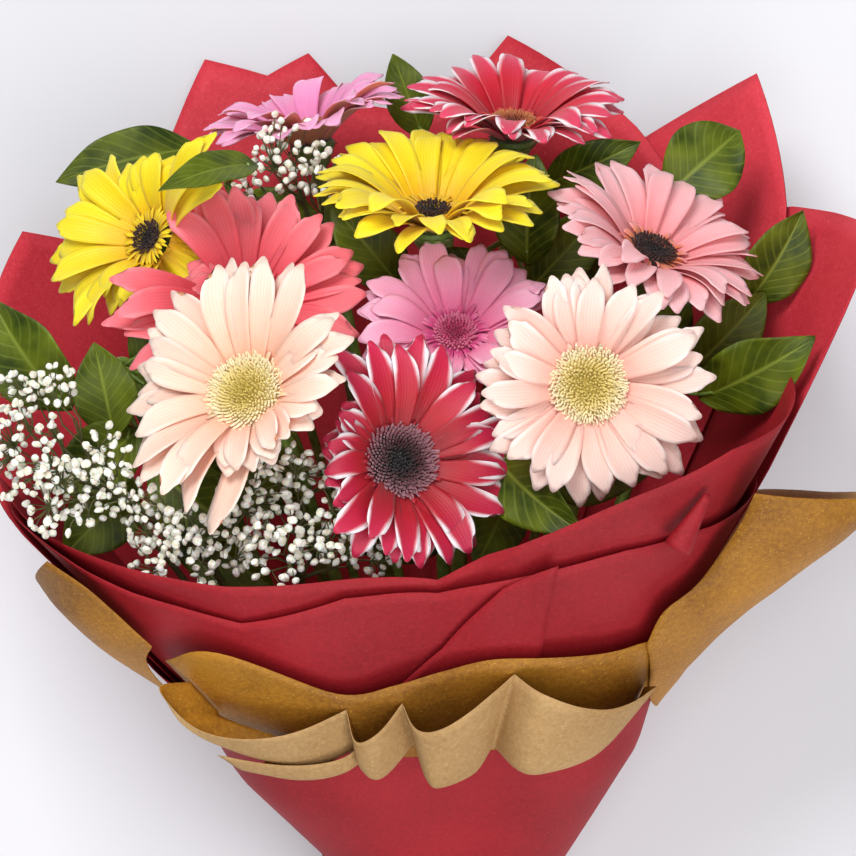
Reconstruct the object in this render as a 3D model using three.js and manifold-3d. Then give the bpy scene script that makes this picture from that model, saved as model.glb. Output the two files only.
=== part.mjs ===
// A round hand-tied bunch of ten cut gerberas with leafy stems and sprays of gypsophila,
// wrapped in layered red paper with a frill of kraft paper, lying on its back on a table.
// Millimetres, +Z up. X runs across the bunch, Y from the cut stem ends to the flower heads.
// The origin is on the table, under the middle of the bunch.
import * as THREE from 'three';
import { mergeVertices } from 'three/addons/utils/BufferGeometryUtils.js';
import Module from 'manifold-3d';

const wasm = await Module();
wasm.setup();

const rad = THREE.MathUtils.degToRad;
const V = (x, y, z) => new THREE.Vector3(x, y, z);

// ---- the bunch's own axis: it lies low in the handle and rises towards the heads ----
const TIE = V(17, -252, 38);          // middle of the tie
const LEAN = rad(4);                  // the axis leans to the left
const HANDLE_RISE = rad(6);           // slope of the stems below the tie
const HEAD_RISE = rad(30);            // slope of the axis above it
const BEND_FROM = -30;                // the bend between them, along the axis from the tie
const BEND_TO = 40;
const STEM_END = -80;                 // where the stems are cut off
const FAN_FROM = 5;                   // where they start to fan out

// ---- paper ----
const WAIST = 24;                     // inside radius of the paper at the tie
const PITCH = 1.2;                    // from one layer of paper to the next at the tie
const PAPER = 0.8;                    // thickness of a sheet
const SPREAD = 0.014;                 // how far the layers part, per mm up the axis
const SLEEVE_LAYER = 3;               // the sleeve is the sheet that lies on the table
const HALF_ANGLE = { right: 27, front: 13, left: 32.5, back: 35 };
const SKIRT_ANGLE = 18;               // flare of the paper below the tie
const TIE_HALF = 10;                  // the tie holds the paper straight over this, each way
const PAPER_GRIP = -10;               // the sheets' lower ends, held in the tie
const PAPER_END = -92;
const COLUMN = 15;                    // degrees between the folds of a sheet
const LAYER_DROP = 250;               // the layers' height off the table doubles over this

// ---- flowers ----
const STEM_RADIUS = 3.4;
const GAP = 0.35;                     // between pieces that touch
const CORE = 15;                      // the solid middle that the petals grow from
const DISC = 17;
const CALYX_DEPTH = 15;
const STEM_TURN = 26;                 // length over which a stem turns into its flower
const ROW_PETALS = 8;                 // petals in each of the two rows
const PETAL_HALF_WIDTH = 8;
const PETAL_ROOT = 2.5;               // how far a petal is sunk in the core
const PETAL_THICKNESS = 1.3;

// centre of the disc, direction it faces, reach of the petals and how far the cup rises
const BLOOMS = {
  mauve: { at: [-59, 146, 85], face: [-0.2, 0.94, 0.27], reach: 50, cup: 17, colour: 0xffa8d2, eye: 0xc46a3c },
  crimson: { at: [42, 148, 95], face: [0.05, 0.9, 0.42], reach: 52, cup: 18, colour: 0xd8305f, eye: 0x8a2a20 },
  lemon: { at: [-130, 89, 165], face: [-0.72, 0.26, 0.64], reach: 53, cup: 18, colour: 0xffe21a, eye: 0x2a1208 },
  coral: { at: [-86, 57, 172], face: [0.12, 0.35, 0.93], reach: 56, cup: 14, colour: 0xf9707a, eye: 0xe8b070,
    crowd: [[-70, 50, 34], [150, 45, 32]] },
  peach: { at: [-81, 15, 235], face: [-0.35, 0.35, 0.87], reach: 56, cup: 14, colour: 0xffd2bf, eye: 0xe8d070 },
  yellow: { at: [2, 100, 155], face: [0, 0.87, 0.5], reach: 52, cup: 18, colour: 0xffe512, eye: 0x2a1208 },
  pink: { at: [13, 43, 165], face: [0, 0.52, 0.86], reach: 47, cup: 17, colour: 0xff85b8, eye: 0xd8b050,
    crowd: [[-90, 60, 36], [90, 14, 40]] },
  raspberry: { at: [-14, -16, 210], face: [0.37, 0.2, 0.9], reach: 50, cup: 14, colour: 0xc80f3c, eye: 0x4a1818 },
  blush: { at: [73, 20, 220], face: [0.05, -0.05, 1], reach: 53, cup: 13, colour: 0xffd8ca, eye: 0xe8d070 },
  salmon: { at: [106, 82, 155], face: [0.35, 0.74, 0.57], reach: 52, cup: 16, colour: 0xff9ca0, eye: 0x1a0508 },
};

// ---------------------------------------------------------------- the bunch's frame
const curvature = (HEAD_RISE - HANDLE_RISE) / (BEND_TO - BEND_FROM);

function slopeAt(h) {
  const inBend = THREE.MathUtils.clamp(h, BEND_FROM, BEND_TO) - BEND_FROM;
  return HANDLE_RISE + curvature * inBend;
}

// how far the axis has run along the table and up, between the tie and height h
function axisRun(h) {
  const edge = THREE.MathUtils.clamp(h, BEND_FROM, BEND_TO);
  const start = slopeAt(0);
  const end = slopeAt(edge);
  const straight = h - edge;
  return [
    (Math.sin(end) - Math.sin(start)) / curvature + straight * Math.cos(end),
    (Math.cos(start) - Math.cos(end)) / curvature + straight * Math.sin(end),
  ];
}

const SIDE = V(Math.cos(LEAN), Math.sin(LEAN), 0);
const AHEAD = V(-Math.sin(LEAN), Math.cos(LEAN), 0);

// a point from its sideways and frontward distances to the axis and its height along it
function inBunch(side, front, h) {
  const [along, up] = axisRun(h);
  const slope = slopeAt(h);
  return TIE.clone()
    .addScaledVector(AHEAD, along - front * Math.sin(slope))
    .addScaledVector(SIDE, side)
    .add(V(0, 0, up + front * Math.cos(slope)));
}

// the reverse, for a point beyond the bend
function bunchCoordinates(point) {
  const base = inBunch(0, 0, BEND_TO);
  const axis = AHEAD.clone().multiplyScalar(Math.cos(HEAD_RISE)).add(V(0, 0, Math.sin(HEAD_RISE)));
  const front = AHEAD.clone().multiplyScalar(-Math.sin(HEAD_RISE)).add(V(0, 0, Math.cos(HEAD_RISE)));
  const offset = point.clone().sub(base);
  return { side: offset.dot(SIDE), front: offset.dot(front), h: BEND_TO + offset.dot(axis) };
}

// ---------------------------------------------------------------- solids
function solidOf(geometry) {
  const bare = geometry.clone();
  bare.deleteAttribute('normal');
  bare.deleteAttribute('uv');
  const merged = mergeVertices(bare, 1e-4);
  return new wasm.Manifold(new wasm.Mesh({
    numProp: 3,
    vertProperties: new Float32Array(merged.attributes.position.array),
    triVerts: new Uint32Array(merged.index.array),
  }));
}

function geometryOf(solid) {
  const mesh = solid.getMesh();
  const geometry = new THREE.BufferGeometry();
  geometry.setAttribute('position', new THREE.BufferAttribute(new Float32Array(mesh.vertProperties), 3));
  geometry.setIndex(new THREE.BufferAttribute(new Uint32Array(mesh.triVerts), 1));
  return geometry;
}

function fuse(geometries) {
  let solid = solidOf(geometries[0]);
  for (const geometry of geometries.slice(1)) {
    solid = solid.add(solidOf(geometry));
  }
  return geometryOf(solid);
}

// a closed body through rings of points, all rings with the same number of points
function loft(rings) {
  const count = rings[0].length;
  const points = rings.flat();
  const faces = [];
  for (let r = 0; r + 1 < rings.length; r++) {
    for (let i = 0; i < count; i++) {
      const a = r * count + i;
      const b = r * count + (i + 1) % count;
      faces.push(a, b, b + count, a, b + count, a + count);
    }
  }
  const last = (rings.length - 1) * count;
  for (let i = 1; i + 1 < count; i++) {
    faces.push(0, i + 1, i);
    faces.push(last, last + i, last + i + 1);
  }
  const geometry = new THREE.BufferGeometry().setFromPoints(points);
  geometry.setIndex(faces);
  return geometry;
}

// a round stem through a row of points
function tube(points, radius, sides) {
  const tangents = points.map((point, i) => {
    const before = points[Math.max(i - 1, 0)];
    const after = points[Math.min(i + 1, points.length - 1)];
    return after.clone().sub(before).normalize();
  });
  const axes = [V(1, 0, 0), V(0, 1, 0), V(0, 0, 1)];
  let across = axes.sort((a, b) => Math.abs(a.dot(tangents[0])) - Math.abs(b.dot(tangents[0])))[0];
  const rings = points.map((point, i) => {
    across = across.clone().addScaledVector(tangents[i], -across.dot(tangents[i])).normalize();
    const other = new THREE.Vector3().crossVectors(tangents[i], across);
    return Array.from({ length: sides }, (_, k) => point.clone()
      .addScaledVector(across, radius * Math.cos(2 * Math.PI * k / sides))
      .addScaledVector(other, radius * Math.sin(2 * Math.PI * k / sides)));
  });
  return loft(rings);
}

function seeded(seed) {
  let state = seed;
  return () => {
    state = (state * 1664525 + 1013904223) % 4294967296;
    return state / 4294967296;
  };
}

// ---------------------------------------------------------------- how the stems cross the tie
const LEAF_STEM_RADIUS = 2.3;
const SPRAY_STEM_RADIUS = 1.7;
const STEM_GAP = 0.35;                // between stems where the tie draws them together
const LOOSE_BUNDLE = 160;             // spread of the stems before they are drawn together

// each leaf: base, tip, half width, direction its upper face looks
const LEAVES = {
  left_back: {
    towards: [-100, 122, 100],
    blades: [
      { base: [-116, 128, 108], tip: [-171, 116, 112], half: 19, up: [-0.1, 0.2, 1] },
      { base: [-86, 116, 186], tip: [-130, 109, 234], half: 15, up: [0.4, 0.5, 0.7] },
    ],
  },
  left: {
    towards: [-150, 30, 165],
    blades: [
      { base: [-172, 18, 185], tip: [-204, 66, 188], half: 20, up: [-0.3, -0.3, 1] },
      { base: [-150, 10, 185], tip: [-160, 50, 190], half: 15, up: [0.1, 0, 1] },
    ],
  },
  middle: {
    towards: [42, 96, 95],
    blades: [
      { base: [48, 84, 130], tip: [52, 132, 142], half: 17, up: [-0.3, 0.2, 1] },
      { base: [62, 122, 100], tip: [104, 140, 118], half: 13, up: [0, -0.2, 1] },
    ],
  },
  right_back: {
    towards: [138, 108, 100],
    blades: [
      { base: [118, 126, 118], tip: [150, 152, 108], half: 20, up: [0.1, 0.1, 1] },
      { base: [158, 86, 128], tip: [171, 120, 134], half: 15, up: [0.4, 0, 1] },
    ],
  },
  right: {
    towards: [120, 20, 140],
    blades: [
      { base: [124, 14, 160], tip: [172, 38, 180], half: 17, up: [0, -0.3, 1] },
    ],
  },
  front: {
    towards: [48, -30, 170],
    blades: [
      { base: [30, -12, 190], tip: [70, -48, 226], half: 17, up: [-0.2, -0.3, 1] },
    ],
  },
  top: {
    towards: [3, 146, 50],
    blades: [
      { base: [-4, 152, 54], tip: [-18, 190, 60], half: 12, up: [0, 0, 1] },
    ],
  },
};

const SPRAYS = {
  left: { hub: [-150, -30, 190], seed: 3, blobs: [[-186, -12, 226, 24], [-166, -32, 232, 20], [-190, 18, 214, 14]] },
  low_left: { hub: [-105, -60, 190], seed: 5, blobs: [[-120, -40, 222, 20], [-96, -56, 226, 20]] },
  low_middle: { hub: [-60, -70, 190], seed: 7, blobs: [[-66, -52, 226, 22], [-44, -44, 215, 18]] },
  top: { hub: [-55, 90, 90], seed: 11, blobs: [[-62, 124, 128, 16], [-46, 112, 128, 14]] },
};

// stems start where their heads point and draw together until they touch
function packStems(stems) {
  for (const stem of stems) {
    const { side, front, h } = bunchCoordinates(stem.head);
    stem.side = side / h * LOOSE_BUNDLE;
    stem.front = front / h * LOOSE_BUNDLE;
  }
  for (let round = 0; round < 600; round++) {
    for (const stem of stems) {
      stem.side *= 0.992;
      stem.front *= 0.992;
    }
    for (let pass = 0; pass < 6; pass++) {
      for (const [i, a] of stems.entries()) {
        for (const b of stems.slice(i + 1)) {
          const apart = Math.hypot(a.side - b.side, a.front - b.front);
          const push = (a.radius + b.radius + STEM_GAP - apart) / 2;
          if (push > 0) {
            const side = (a.side - b.side) / apart * push;
            const front = (a.front - b.front) / apart * push;
            a.side += side;
            a.front += front;
            b.side -= side;
            b.front -= front;
          }
        }
      }
    }
  }
}

// from the cut end through the tie, then fanning out to a head and turning into its direction
function stemPath(stem, neck, direction, turn) {
  const corner = neck.clone().addScaledVector(direction, -turn);
  const { side, front, h } = bunchCoordinates(corner);
  const fanned = (height) => {
    const t = Math.max(height - FAN_FROM, 0) / (h - FAN_FROM);
    return inBunch(THREE.MathUtils.lerp(stem.side, side, t), THREE.MathUtils.lerp(stem.front, front, t), height);
  };
  const bend = new THREE.QuadraticBezierCurve3(fanned(h - turn), corner, neck);
  return [...[STEM_END, BEND_FROM, FAN_FROM, BEND_TO, h / 2].map(fanned), ...bend.getPoints(3)];
}

// ---------------------------------------------------------------- one bloom
// a flower's own frame: u and v in its plane, w the way it faces
function flowerFrame(bloom) {
  const w = V(...bloom.face).normalize();
  const u = V(1, 0, 0).addScaledVector(w, -w.x).normalize();
  const v = new THREE.Vector3().crossVectors(w, u);
  const centre = V(...bloom.at);
  return (radius, angle, lift) => centre.clone()
    .addScaledVector(u, radius * Math.cos(angle))
    .addScaledVector(v, radius * Math.sin(angle))
    .addScaledVector(w, lift);
}

function turned(profile, place, sides) {
  const rings = profile.map(([radius, lift]) => (
    Array.from({ length: sides }, (_, i) => place(radius, 2 * Math.PI * (i + 0.5) / sides, lift))
  ));
  return loft(rings);
}

// petals that a neighbour presses on are shorter: [middle direction, half width in degrees, reach]
function crowded(angle, bloom) {
  for (const [middle, half, reach] of bloom.crowd ?? []) {
    const away = Math.abs(Math.atan2(Math.sin(angle - rad(middle)), Math.cos(angle - rad(middle))));
    if (away < rad(half)) {
      return reach;
    }
  }
  return bloom.reach;
}

// a petal is a shallow keeled blade, rooted inside the core and bending over towards its tip
function petal(place, angle, row, bloom) {
  const root = CORE - PETAL_ROOT;
  const reach = crowded(angle, bloom) * (row === 0 ? 1 : 0.9);
  const cup = bloom.cup * (reach - root) / (bloom.reach - root);
  const lift0 = row === 0 ? -2.2 : -0.9;
  const stations = [[0, 0.26], [0.36, 0.8], [0.78, 1], [1, 0.22]];
  const rings = stations.map(([s, width]) => {
    const radius = THREE.MathUtils.lerp(root, reach, s);
    const lift = lift0 + cup * (row === 0 ? 1 : 1.12) * (2 * s - s * s);
    const half = PETAL_HALF_WIDTH * width;
    const swing = Math.atan2(half, radius);
    const out = Math.hypot(half, radius);
    return [
      place(out, angle - swing, lift - PETAL_THICKNESS / 2),
      place(out, angle + swing, lift - PETAL_THICKNESS / 2),
      place(radius, angle, lift + PETAL_THICKNESS / 2),
    ];
  });
  return loft(rings);
}

function petals(bloom) {
  const place = flowerFrame(bloom);
  const core = [[CORE, -3.2], [CORE, 0]];
  const pieces = [turned(core, place, 2 * ROW_PETALS)];
  for (let row = 0; row < 2; row++) {
    for (let i = 0; i < ROW_PETALS; i++) {
      pieces.push(petal(place, 2 * Math.PI * (i + row / 2) / ROW_PETALS, row, bloom));
    }
  }
  return fuse(pieces);
}

// the disc is a low dome of florets, raised and sunk by turns
function disc(bloom) {
  const place = flowerFrame(bloom);
  const sides = 10;
  const profile = [[DISC - 5.5, GAP], [DISC - 2.5, 3.8], [DISC, 6.8], [DISC * 0.55, 8.2], [2, 6.8]];
  const rings = profile.map(([radius, lift], ring) => (
    Array.from({ length: sides }, (_, i) => {
      const bump = ring === 0 || ring === 4 ? 0 : ((i + ring) % 2) * 1.4 - 0.7;
      return place(radius + bump, 2 * Math.PI * i / sides, lift + bump / 2);
    })
  ));
  return loft(rings);
}

// the stem and the green cup of bracts under the petals
function bloomStem(bloom, stem) {
  const place = flowerFrame(bloom);
  const top = -3.2 - GAP;
  const cup = [
    [STEM_RADIUS + 0.8, top - CALYX_DEPTH],
    [CORE - 5, top - CALYX_DEPTH * 0.5],
    [CORE - 3, top],
  ];
  const face = V(...bloom.face).normalize();
  const neck = V(...bloom.at).addScaledVector(face, top - CALYX_DEPTH * 0.7);
  const path = stemPath(stem, neck, face, STEM_TURN);
  return fuse([tube(path, STEM_RADIUS, 6), turned(cup, place, 8)]);
}

// ---------------------------------------------------------------- leafy stems
function blade({ base, tip, half, up }) {
  const start = V(...base);
  const along = V(...tip).sub(start);
  const length = along.length();
  along.normalize();
  const across = new THREE.Vector3().crossVectors(V(...up), along).normalize();
  const normal = new THREE.Vector3().crossVectors(along, across);
  const stations = [[-0.12, 0.1], [0.12, 0.62], [0.4, 1], [0.7, 0.82], [0.9, 0.36], [1, 0.05]];
  const rings = stations.map(([s, width]) => {
    const arch = 0.1 * length * 4 * s * (1 - s) - 0.02 * length;
    const centre = start.clone().addScaledVector(along, s * length).addScaledVector(normal, arch);
    const rise = 0.22 * half * width;
    return [
      centre.clone().addScaledVector(across, -half * width).addScaledVector(normal, rise),
      centre.clone().addScaledVector(normal, -0.6),
      centre.clone().addScaledVector(across, half * width).addScaledVector(normal, rise),
      centre.clone().addScaledVector(normal, 0.6),
    ];
  });
  return loft(rings);
}

function leafyStem(leafy, stem) {
  const pieces = [];
  const heel = V(...leafy.towards);
  const first = V(...leafy.blades[0].base);
  const direction = first.clone().sub(heel).normalize();
  pieces.push(tube(stemPath(stem, heel, direction, 10), LEAF_STEM_RADIUS, 5));
  for (const leaf of leafy.blades) {
    const base = V(...leaf.base);
    const into = V(...leaf.tip).sub(base).normalize();
    const stalk = [heel.clone(), heel.clone().lerp(base, 0.5), base.clone().addScaledVector(into, 3)];
    pieces.push(tube(stalk, 1.3, 4));
    pieces.push(blade(leaf));
  }
  return fuse(pieces);
}

// ---------------------------------------------------------------- gypsophila
const FLORETS_PER_CLOUD = 7;
const FLORET = 3;

function twig(from, to, thick) {
  const along = to.clone().sub(from).normalize();
  const across = new THREE.Vector3().crossVectors(along, V(0.3, 0.2, 1)).normalize();
  const other = new THREE.Vector3().crossVectors(along, across);
  const ring = (centre, radius) => [0, 1, 2].map((i) => centre.clone()
    .addScaledVector(across, radius * Math.cos(2 * Math.PI * i / 3))
    .addScaledVector(other, radius * Math.sin(2 * Math.PI * i / 3)));
  return loft([ring(from, thick), ring(to, thick * 0.7)]);
}

// each cloud of florets has one branch, with twigs along it and the florets spread by the golden angle
function spray({ hub, blobs, seed }, stem) {
  const random = seeded(seed);
  const root = V(...hub);
  const outward = V(...blobs[0]).sub(root).normalize();
  const pieces = [tube(stemPath(stem, root, outward, 10), SPRAY_STEM_RADIUS, 4)];
  const golden = Math.PI * (3 - Math.sqrt(5));
  for (const [x, y, z, radius] of blobs) {
    const middle = V(x, y, z);
    pieces.push(twig(root.clone().addScaledVector(outward, -1), middle, 1.2));
    for (let i = 0; i < FLORETS_PER_CLOUD; i++) {
      const out = radius * Math.sqrt(i / FLORETS_PER_CLOUD);
      const lift = (random() - 0.5) * radius * 0.7;
      const place = middle.clone().add(V(out * Math.cos(i * golden), out * Math.sin(i * golden), i ? lift : 0));
      if (i > 0) {
        pieces.push(twig(root.clone().lerp(middle, 0.4 + 0.5 * i / FLORETS_PER_CLOUD), place, 0.55));
      }
      pieces.push(new THREE.OctahedronGeometry(FLORET).rotateX(i).translate(place.x, place.y, place.z));
    }
  }
  return fuse(pieces);
}

// ---------------------------------------------------------------- paper
function halfAngle(phi) {
  const c = Math.cos(phi);
  const s = Math.sin(phi);
  const sum = Math.max(0, c) ** 2 * HALF_ANGLE.right + Math.max(0, s) ** 2 * HALF_ANGLE.front
    + Math.max(0, -c) ** 2 * HALF_ANGLE.left + Math.max(0, -s) ** 2 * HALF_ANGLE.back;
  return rad(sum);
}

// a point of the wrap: direction round the axis, height along it, layer out from the flowers,
// and how far it bulges and lies below the sheet's inner face
function wrapPoint(phi, h, layer, bulge, depth) {
  const beyond = Math.max(Math.abs(h) - TIE_HALF, 0);
  const flare = beyond * (h > 0 ? Math.tan(halfAngle(phi)) + layer * SPREAD : Math.tan(rad(SKIRT_ANGLE)));
  const radius = WAIST + layer * PITCH + flare + bulge + depth;
  const point = inBunch(radius * Math.cos(phi), radius * Math.sin(phi), h);
  const floor = (SLEEVE_LAYER - layer) * (1 + Math.max(h, 0) / LAYER_DROP) + PAPER - depth;
  point.z = Math.max(point.z, floor, 0);
  return point;
}

// height of an outline given by its corners [direction, height]
function outlineAt(corners, degrees) {
  let i = 0;
  while (i + 2 < corners.length && corners[i + 1][0] < degrees) {
    i++;
  }
  const [[d0, h0], [d1, h1]] = [corners[i], corners[i + 1]];
  return h0 + (h1 - h0) * THREE.MathUtils.clamp((degrees - d0) / (d1 - d0), 0, 1);
}

// directions of a sheet's columns: the folds that all sheets share, and the corners of its outline
function columns(corners) {
  const from = corners[0][0];
  const to = corners[corners.length - 1][0];
  const all = new Set(corners.map(([degrees]) => degrees));
  for (let d = Math.ceil(from / COLUMN) * COLUMN; d <= to; d += COLUMN) {
    all.add(d);
  }
  return [...all].sort((a, b) => a - b);
}

// a sheet of paper as a thin closed body between an inner and an outer grid of points
function sheetBody(inner, outer, closed) {
  const rows = inner[0].length;
  const count = inner.length;
  const points = [...inner.flat(), ...outer.flat()];
  const shift = rows * count;
  const faces = [];
  const quad = (a, b, c, d) => faces.push(a, c, b, a, d, c);
  const spans = closed ? count : count - 1;
  for (let i = 0; i < spans; i++) {
    const a = i * rows;
    const b = ((i + 1) % count) * rows;
    for (let r = 0; r + 1 < rows; r++) {
      quad(a + r, a + r + 1, b + r + 1, b + r);
      faces.push(shift + a + r, shift + a + r + 1, shift + b + r + 1);
      faces.push(shift + a + r, shift + b + r + 1, shift + b + r);
    }
    quad(a, b, shift + b, shift + a);
    quad(b + rows - 1, a + rows - 1, shift + a + rows - 1, shift + b + rows - 1);
  }
  if (!closed) {
    const end = (count - 1) * rows;
    for (let r = 0; r + 1 < rows; r++) {
      quad(r, shift + r, shift + r + 1, r + 1);
      quad(end + r, end + r + 1, shift + end + r + 1, shift + end + r);
    }
  }
  const geometry = new THREE.BufferGeometry().setFromPoints(points);
  geometry.setIndex(faces);
  return geometry;
}

function sheet({ layer, rim, foot = PAPER_GRIP, levels = [TIE_HALF, 45, 150], closed = false }) {
  const directions = columns(rim).slice(0, closed ? -1 : undefined);
  const grid = (depth) => directions.map((degrees) => {
    const top = outlineAt(rim, degrees);
    return [foot, ...levels, top].map((h) => wrapPoint(rad(degrees), h, layer, 0, depth));
  });
  return sheetBody(grid(0), grid(PAPER), closed);
}

// outlines of the sheets: [direction in degrees from the right, height along the axis]
const SHEETS = {
  paper_back_middle: { layer: 0, rim: [[-92, 325], [-82.5, 346], [-78, 369], [-60, 341], [-52, 325]] },
  paper_back_left: {
    layer: 1,
    rim: [[-127, 322], [-120, 338], [-111.5, 371], [-105, 357], [-100, 363], [-96, 339], [-87, 330]],
  },
  paper_back_right: { layer: 1, rim: [[-60, 332], [-45, 379], [-30, 339], [-26, 325]] },
  paper_right: { layer: 2, rim: [[-38, 325], [-30, 338], [-5.5, 367], [0, 310], [5, 262]] },
  paper_left: {
    layer: 2,
    rim: [[-195, 272], [-180, 280], [-158.5, 313], [-142.5, 333], [-135, 315], [-120, 300]],
  },
  paper_inner: {
    layer: 0,
    rim: [[-22, 290], [0, 303], [30, 312], [45, 300], [60, 283], [90, 256], [112, 264], [135, 269], [165, 278],
      [176, 290]],
    levels: [TIE_HALF, 45],
  },
  paper_front: {
    layer: 1,
    rim: [[-21, 240], [0, 255], [30, 267], [45, 268], [67, 260], [90, 251], [115, 256], [135, 246], [150, 260],
      [165, 282], [190, 268]],
    levels: [TIE_HALF, 45],
  },
  paper_fold: { layer: 2, rim: [[60, 268], [72, 255], [90, 217], [110, 190], [120, 150]], levels: [TIE_HALF, 45] },
  paper_sleeve: {
    layer: SLEEVE_LAYER,
    rim: [[-180, 190], [-150, 250], [-120, 300], [-60, 300], [-30, 250], [0, 190], [90, 180], [180, 190]],
    foot: PAPER_END,
    levels: [-TIE_HALF, TIE_HALF, 45, 150],
    closed: true,
  },
};

const RED = new THREE.MeshStandardMaterial({ color: 0xb03038, roughness: 0.75, metalness: 0 });
const KRAFT = new THREE.MeshStandardMaterial({ color: 0xb8904f, roughness: 0.8, metalness: 0 });

// kraft paper outside the sleeve, each piece a list of lines, and a line a list of [direction,
// height, how far it stands off the sleeve]. The frill is a strip that lies on the sleeve with a
// row of loops in front of it, and it runs out into a flap at each side.
const HUG = -1.5;                     // stand-off of paper that lies on the sleeve
const PINCHED = -0.3;                 // and of a loop where it is pinched to the strip
const KRAFTS = {
  kraft_loops: [
    [[148, 205, PINCHED], [144.5, 215, 20], [142, 188, 23], [130, 186, 19], [119, 190, PINCHED],
      [115, 178, 14], [109, 183, 15], [104, 190, PINCHED], [98, 185, 18], [90, 189, 21], [79, 198, 12],
      [69, 204, PINCHED], [64.7, 200, 16], [51, 185, 20], [36, 181, 13], [28, 168, PINCHED]],
    [[148, 190, PINCHED], [144.5, 195, 22], [141.5, 176, 21], [129, 160.5, 15], [119, 165, PINCHED],
      [116, 157, 14], [111, 151.6, 16], [102.5, 165, PINCHED], [97, 150, 20], [92, 147.5, 22], [82, 149, 14],
      [73, 160, PINCHED], [69, 153, 22], [58, 149, 21], [42, 150, 12], [27, 158, PINCHED]],
    [[148, 182, PINCHED], [146, 183, 3], [142, 178, 3], [129, 164, 1], [119, 163, PINCHED],
      [115, 159, 1], [110, 155, 1], [102.5, 160, PINCHED], [97, 154, 1], [91, 152, 1], [82, 153, 1],
      [73, 152, PINCHED], [69, 157, 1], [58, 154, 1], [42, 154, 1], [26, 154, PINCHED]],
  ],
  kraft_strip: [
    [[150, 218, HUG], [138, 232, HUG], [120, 201, HUG], [105, 202, HUG], [90, 208, HUG], [75, 214, HUG],
      [60, 212, HUG], [45, 207, HUG], [40, 204, HUG], [30, 176, HUG]],
    [[150, 178, HUG], [135, 165, HUG], [120, 156, HUG], [105, 150, HUG], [90, 150, HUG], [75, 150, HUG],
      [60, 150, HUG], [45, 150, HUG], [37, 150, HUG], [27, 150, HUG]],
  ],
  kraft_wing_right: [
    [[37, 206, 0], [36, 226, HUG], [30, 238, HUG], [28, 268, HUG], [29, 290, HUG]],
    [[22, 152, 2], [15.6, 189, 14], [16, 217, 26], [16.7, 250, 40], [12.5, 263, 46]],
    [[0, 125, 1], [-8, 150, 12], [-8, 180, 26], [-7.7, 205, 40], [-7.7, 222, 48]],
    [[-15, 120, 0], [-24, 140, 10], [-24, 160, 22], [-25, 175, 36], [-27.6, 190, 48]],
  ],
  kraft_wing_left: [
    [[155, 281, HUG], [152, 268, HUG], [151, 252, HUG], [150.5, 238, HUG], [150, 228, HUG]],
    [[174, 228, 6], [161, 238, 8], [158, 226, 8], [157, 217, 5], [156, 208, 0]],
    [[190, 195, 2], [176, 190, 4], [172, 180, 4], [170, 170, 2], [166, 165, HUG]],
  ],
};

function kraft(lines) {
  const inner = lines[0].map((_, i) => lines.map((line) => {
    const [degrees, h, off] = line[i];
    return wrapPoint(rad(degrees), h, SLEEVE_LAYER + 1, off, 0);
  }).reverse()).reverse();
  const outer = inner.map((column, i) => column.map((point, j) => {
    const around = inner[Math.min(i + 1, inner.length - 1)][j].clone().sub(inner[Math.max(i - 1, 0)][j]);
    const up = column[Math.min(j + 1, column.length - 1)].clone().sub(column[Math.max(j - 1, 0)]);
    return point.clone().addScaledVector(up.cross(around).normalize(), PAPER);
  }));
  return sheetBody(inner, outer, false);
}

// ---------------------------------------------------------------- tie and ribbon
function ring(inner, outer, from, to, sides) {
  const corners = [[inner, from], [outer, from], [outer, to], [inner, to]];
  const points = corners.map(([radius, h]) => (
    Array.from({ length: sides }, (_, i) => {
      const phi = 2 * Math.PI * i / sides;
      return inBunch(radius * Math.cos(phi), radius * Math.sin(phi), h);
    })
  ));
  const faces = [];
  for (let c = 0; c < 4; c++) {
    for (let i = 0; i < sides; i++) {
      const a = c * sides + i;
      const b = c * sides + (i + 1) % sides;
      const d = ((c + 1) % 4) * sides;
      faces.push(a, d + (i + 1) % sides, b, a, d + i, d + (i + 1) % sides);
    }
  }
  const geometry = new THREE.BufferGeometry().setFromPoints(points.flat());
  geometry.setIndex(faces);
  return geometry;
}

// ---------------------------------------------------------------- the bunch
const bunch = new THREE.Group();

function addPart(name, geometry, material) {
  const mesh = new THREE.Mesh(geometry, material);
  mesh.name = name;
  bunch.add(mesh);
}

const green = new THREE.MeshStandardMaterial({ color: 0x6f8f3a, roughness: 0.6, metalness: 0 });
const leafGreen = new THREE.MeshStandardMaterial({ color: 0x4f6e1e, roughness: 0.5, metalness: 0 });
const white = new THREE.MeshStandardMaterial({ color: 0xf4f0e4, roughness: 0.8, metalness: 0 });
const jute = new THREE.MeshStandardMaterial({ color: 0xa88a58, roughness: 0.9, metalness: 0 });
const satin = new THREE.MeshStandardMaterial({ color: 0x8c1c24, roughness: 0.4, metalness: 0 });

const stems = [
  ...Object.entries(BLOOMS).map(([name, bloom]) => ({
    name,
    radius: STEM_RADIUS,
    head: V(...bloom.at).addScaledVector(V(...bloom.face).normalize(), -CALYX_DEPTH - STEM_TURN),
  })),
  ...Object.entries(LEAVES).map(([name, leafy]) => ({
    name: `leaf_${name}`,
    radius: LEAF_STEM_RADIUS,
    head: V(...leafy.towards),
  })),
  ...Object.entries(SPRAYS).map(([name, one]) => ({
    name: `spray_${name}`,
    radius: SPRAY_STEM_RADIUS,
    head: V(...one.hub),
  })),
];
packStems(stems);
const stemOf = (name) => stems.find((stem) => stem.name === name);

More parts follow.
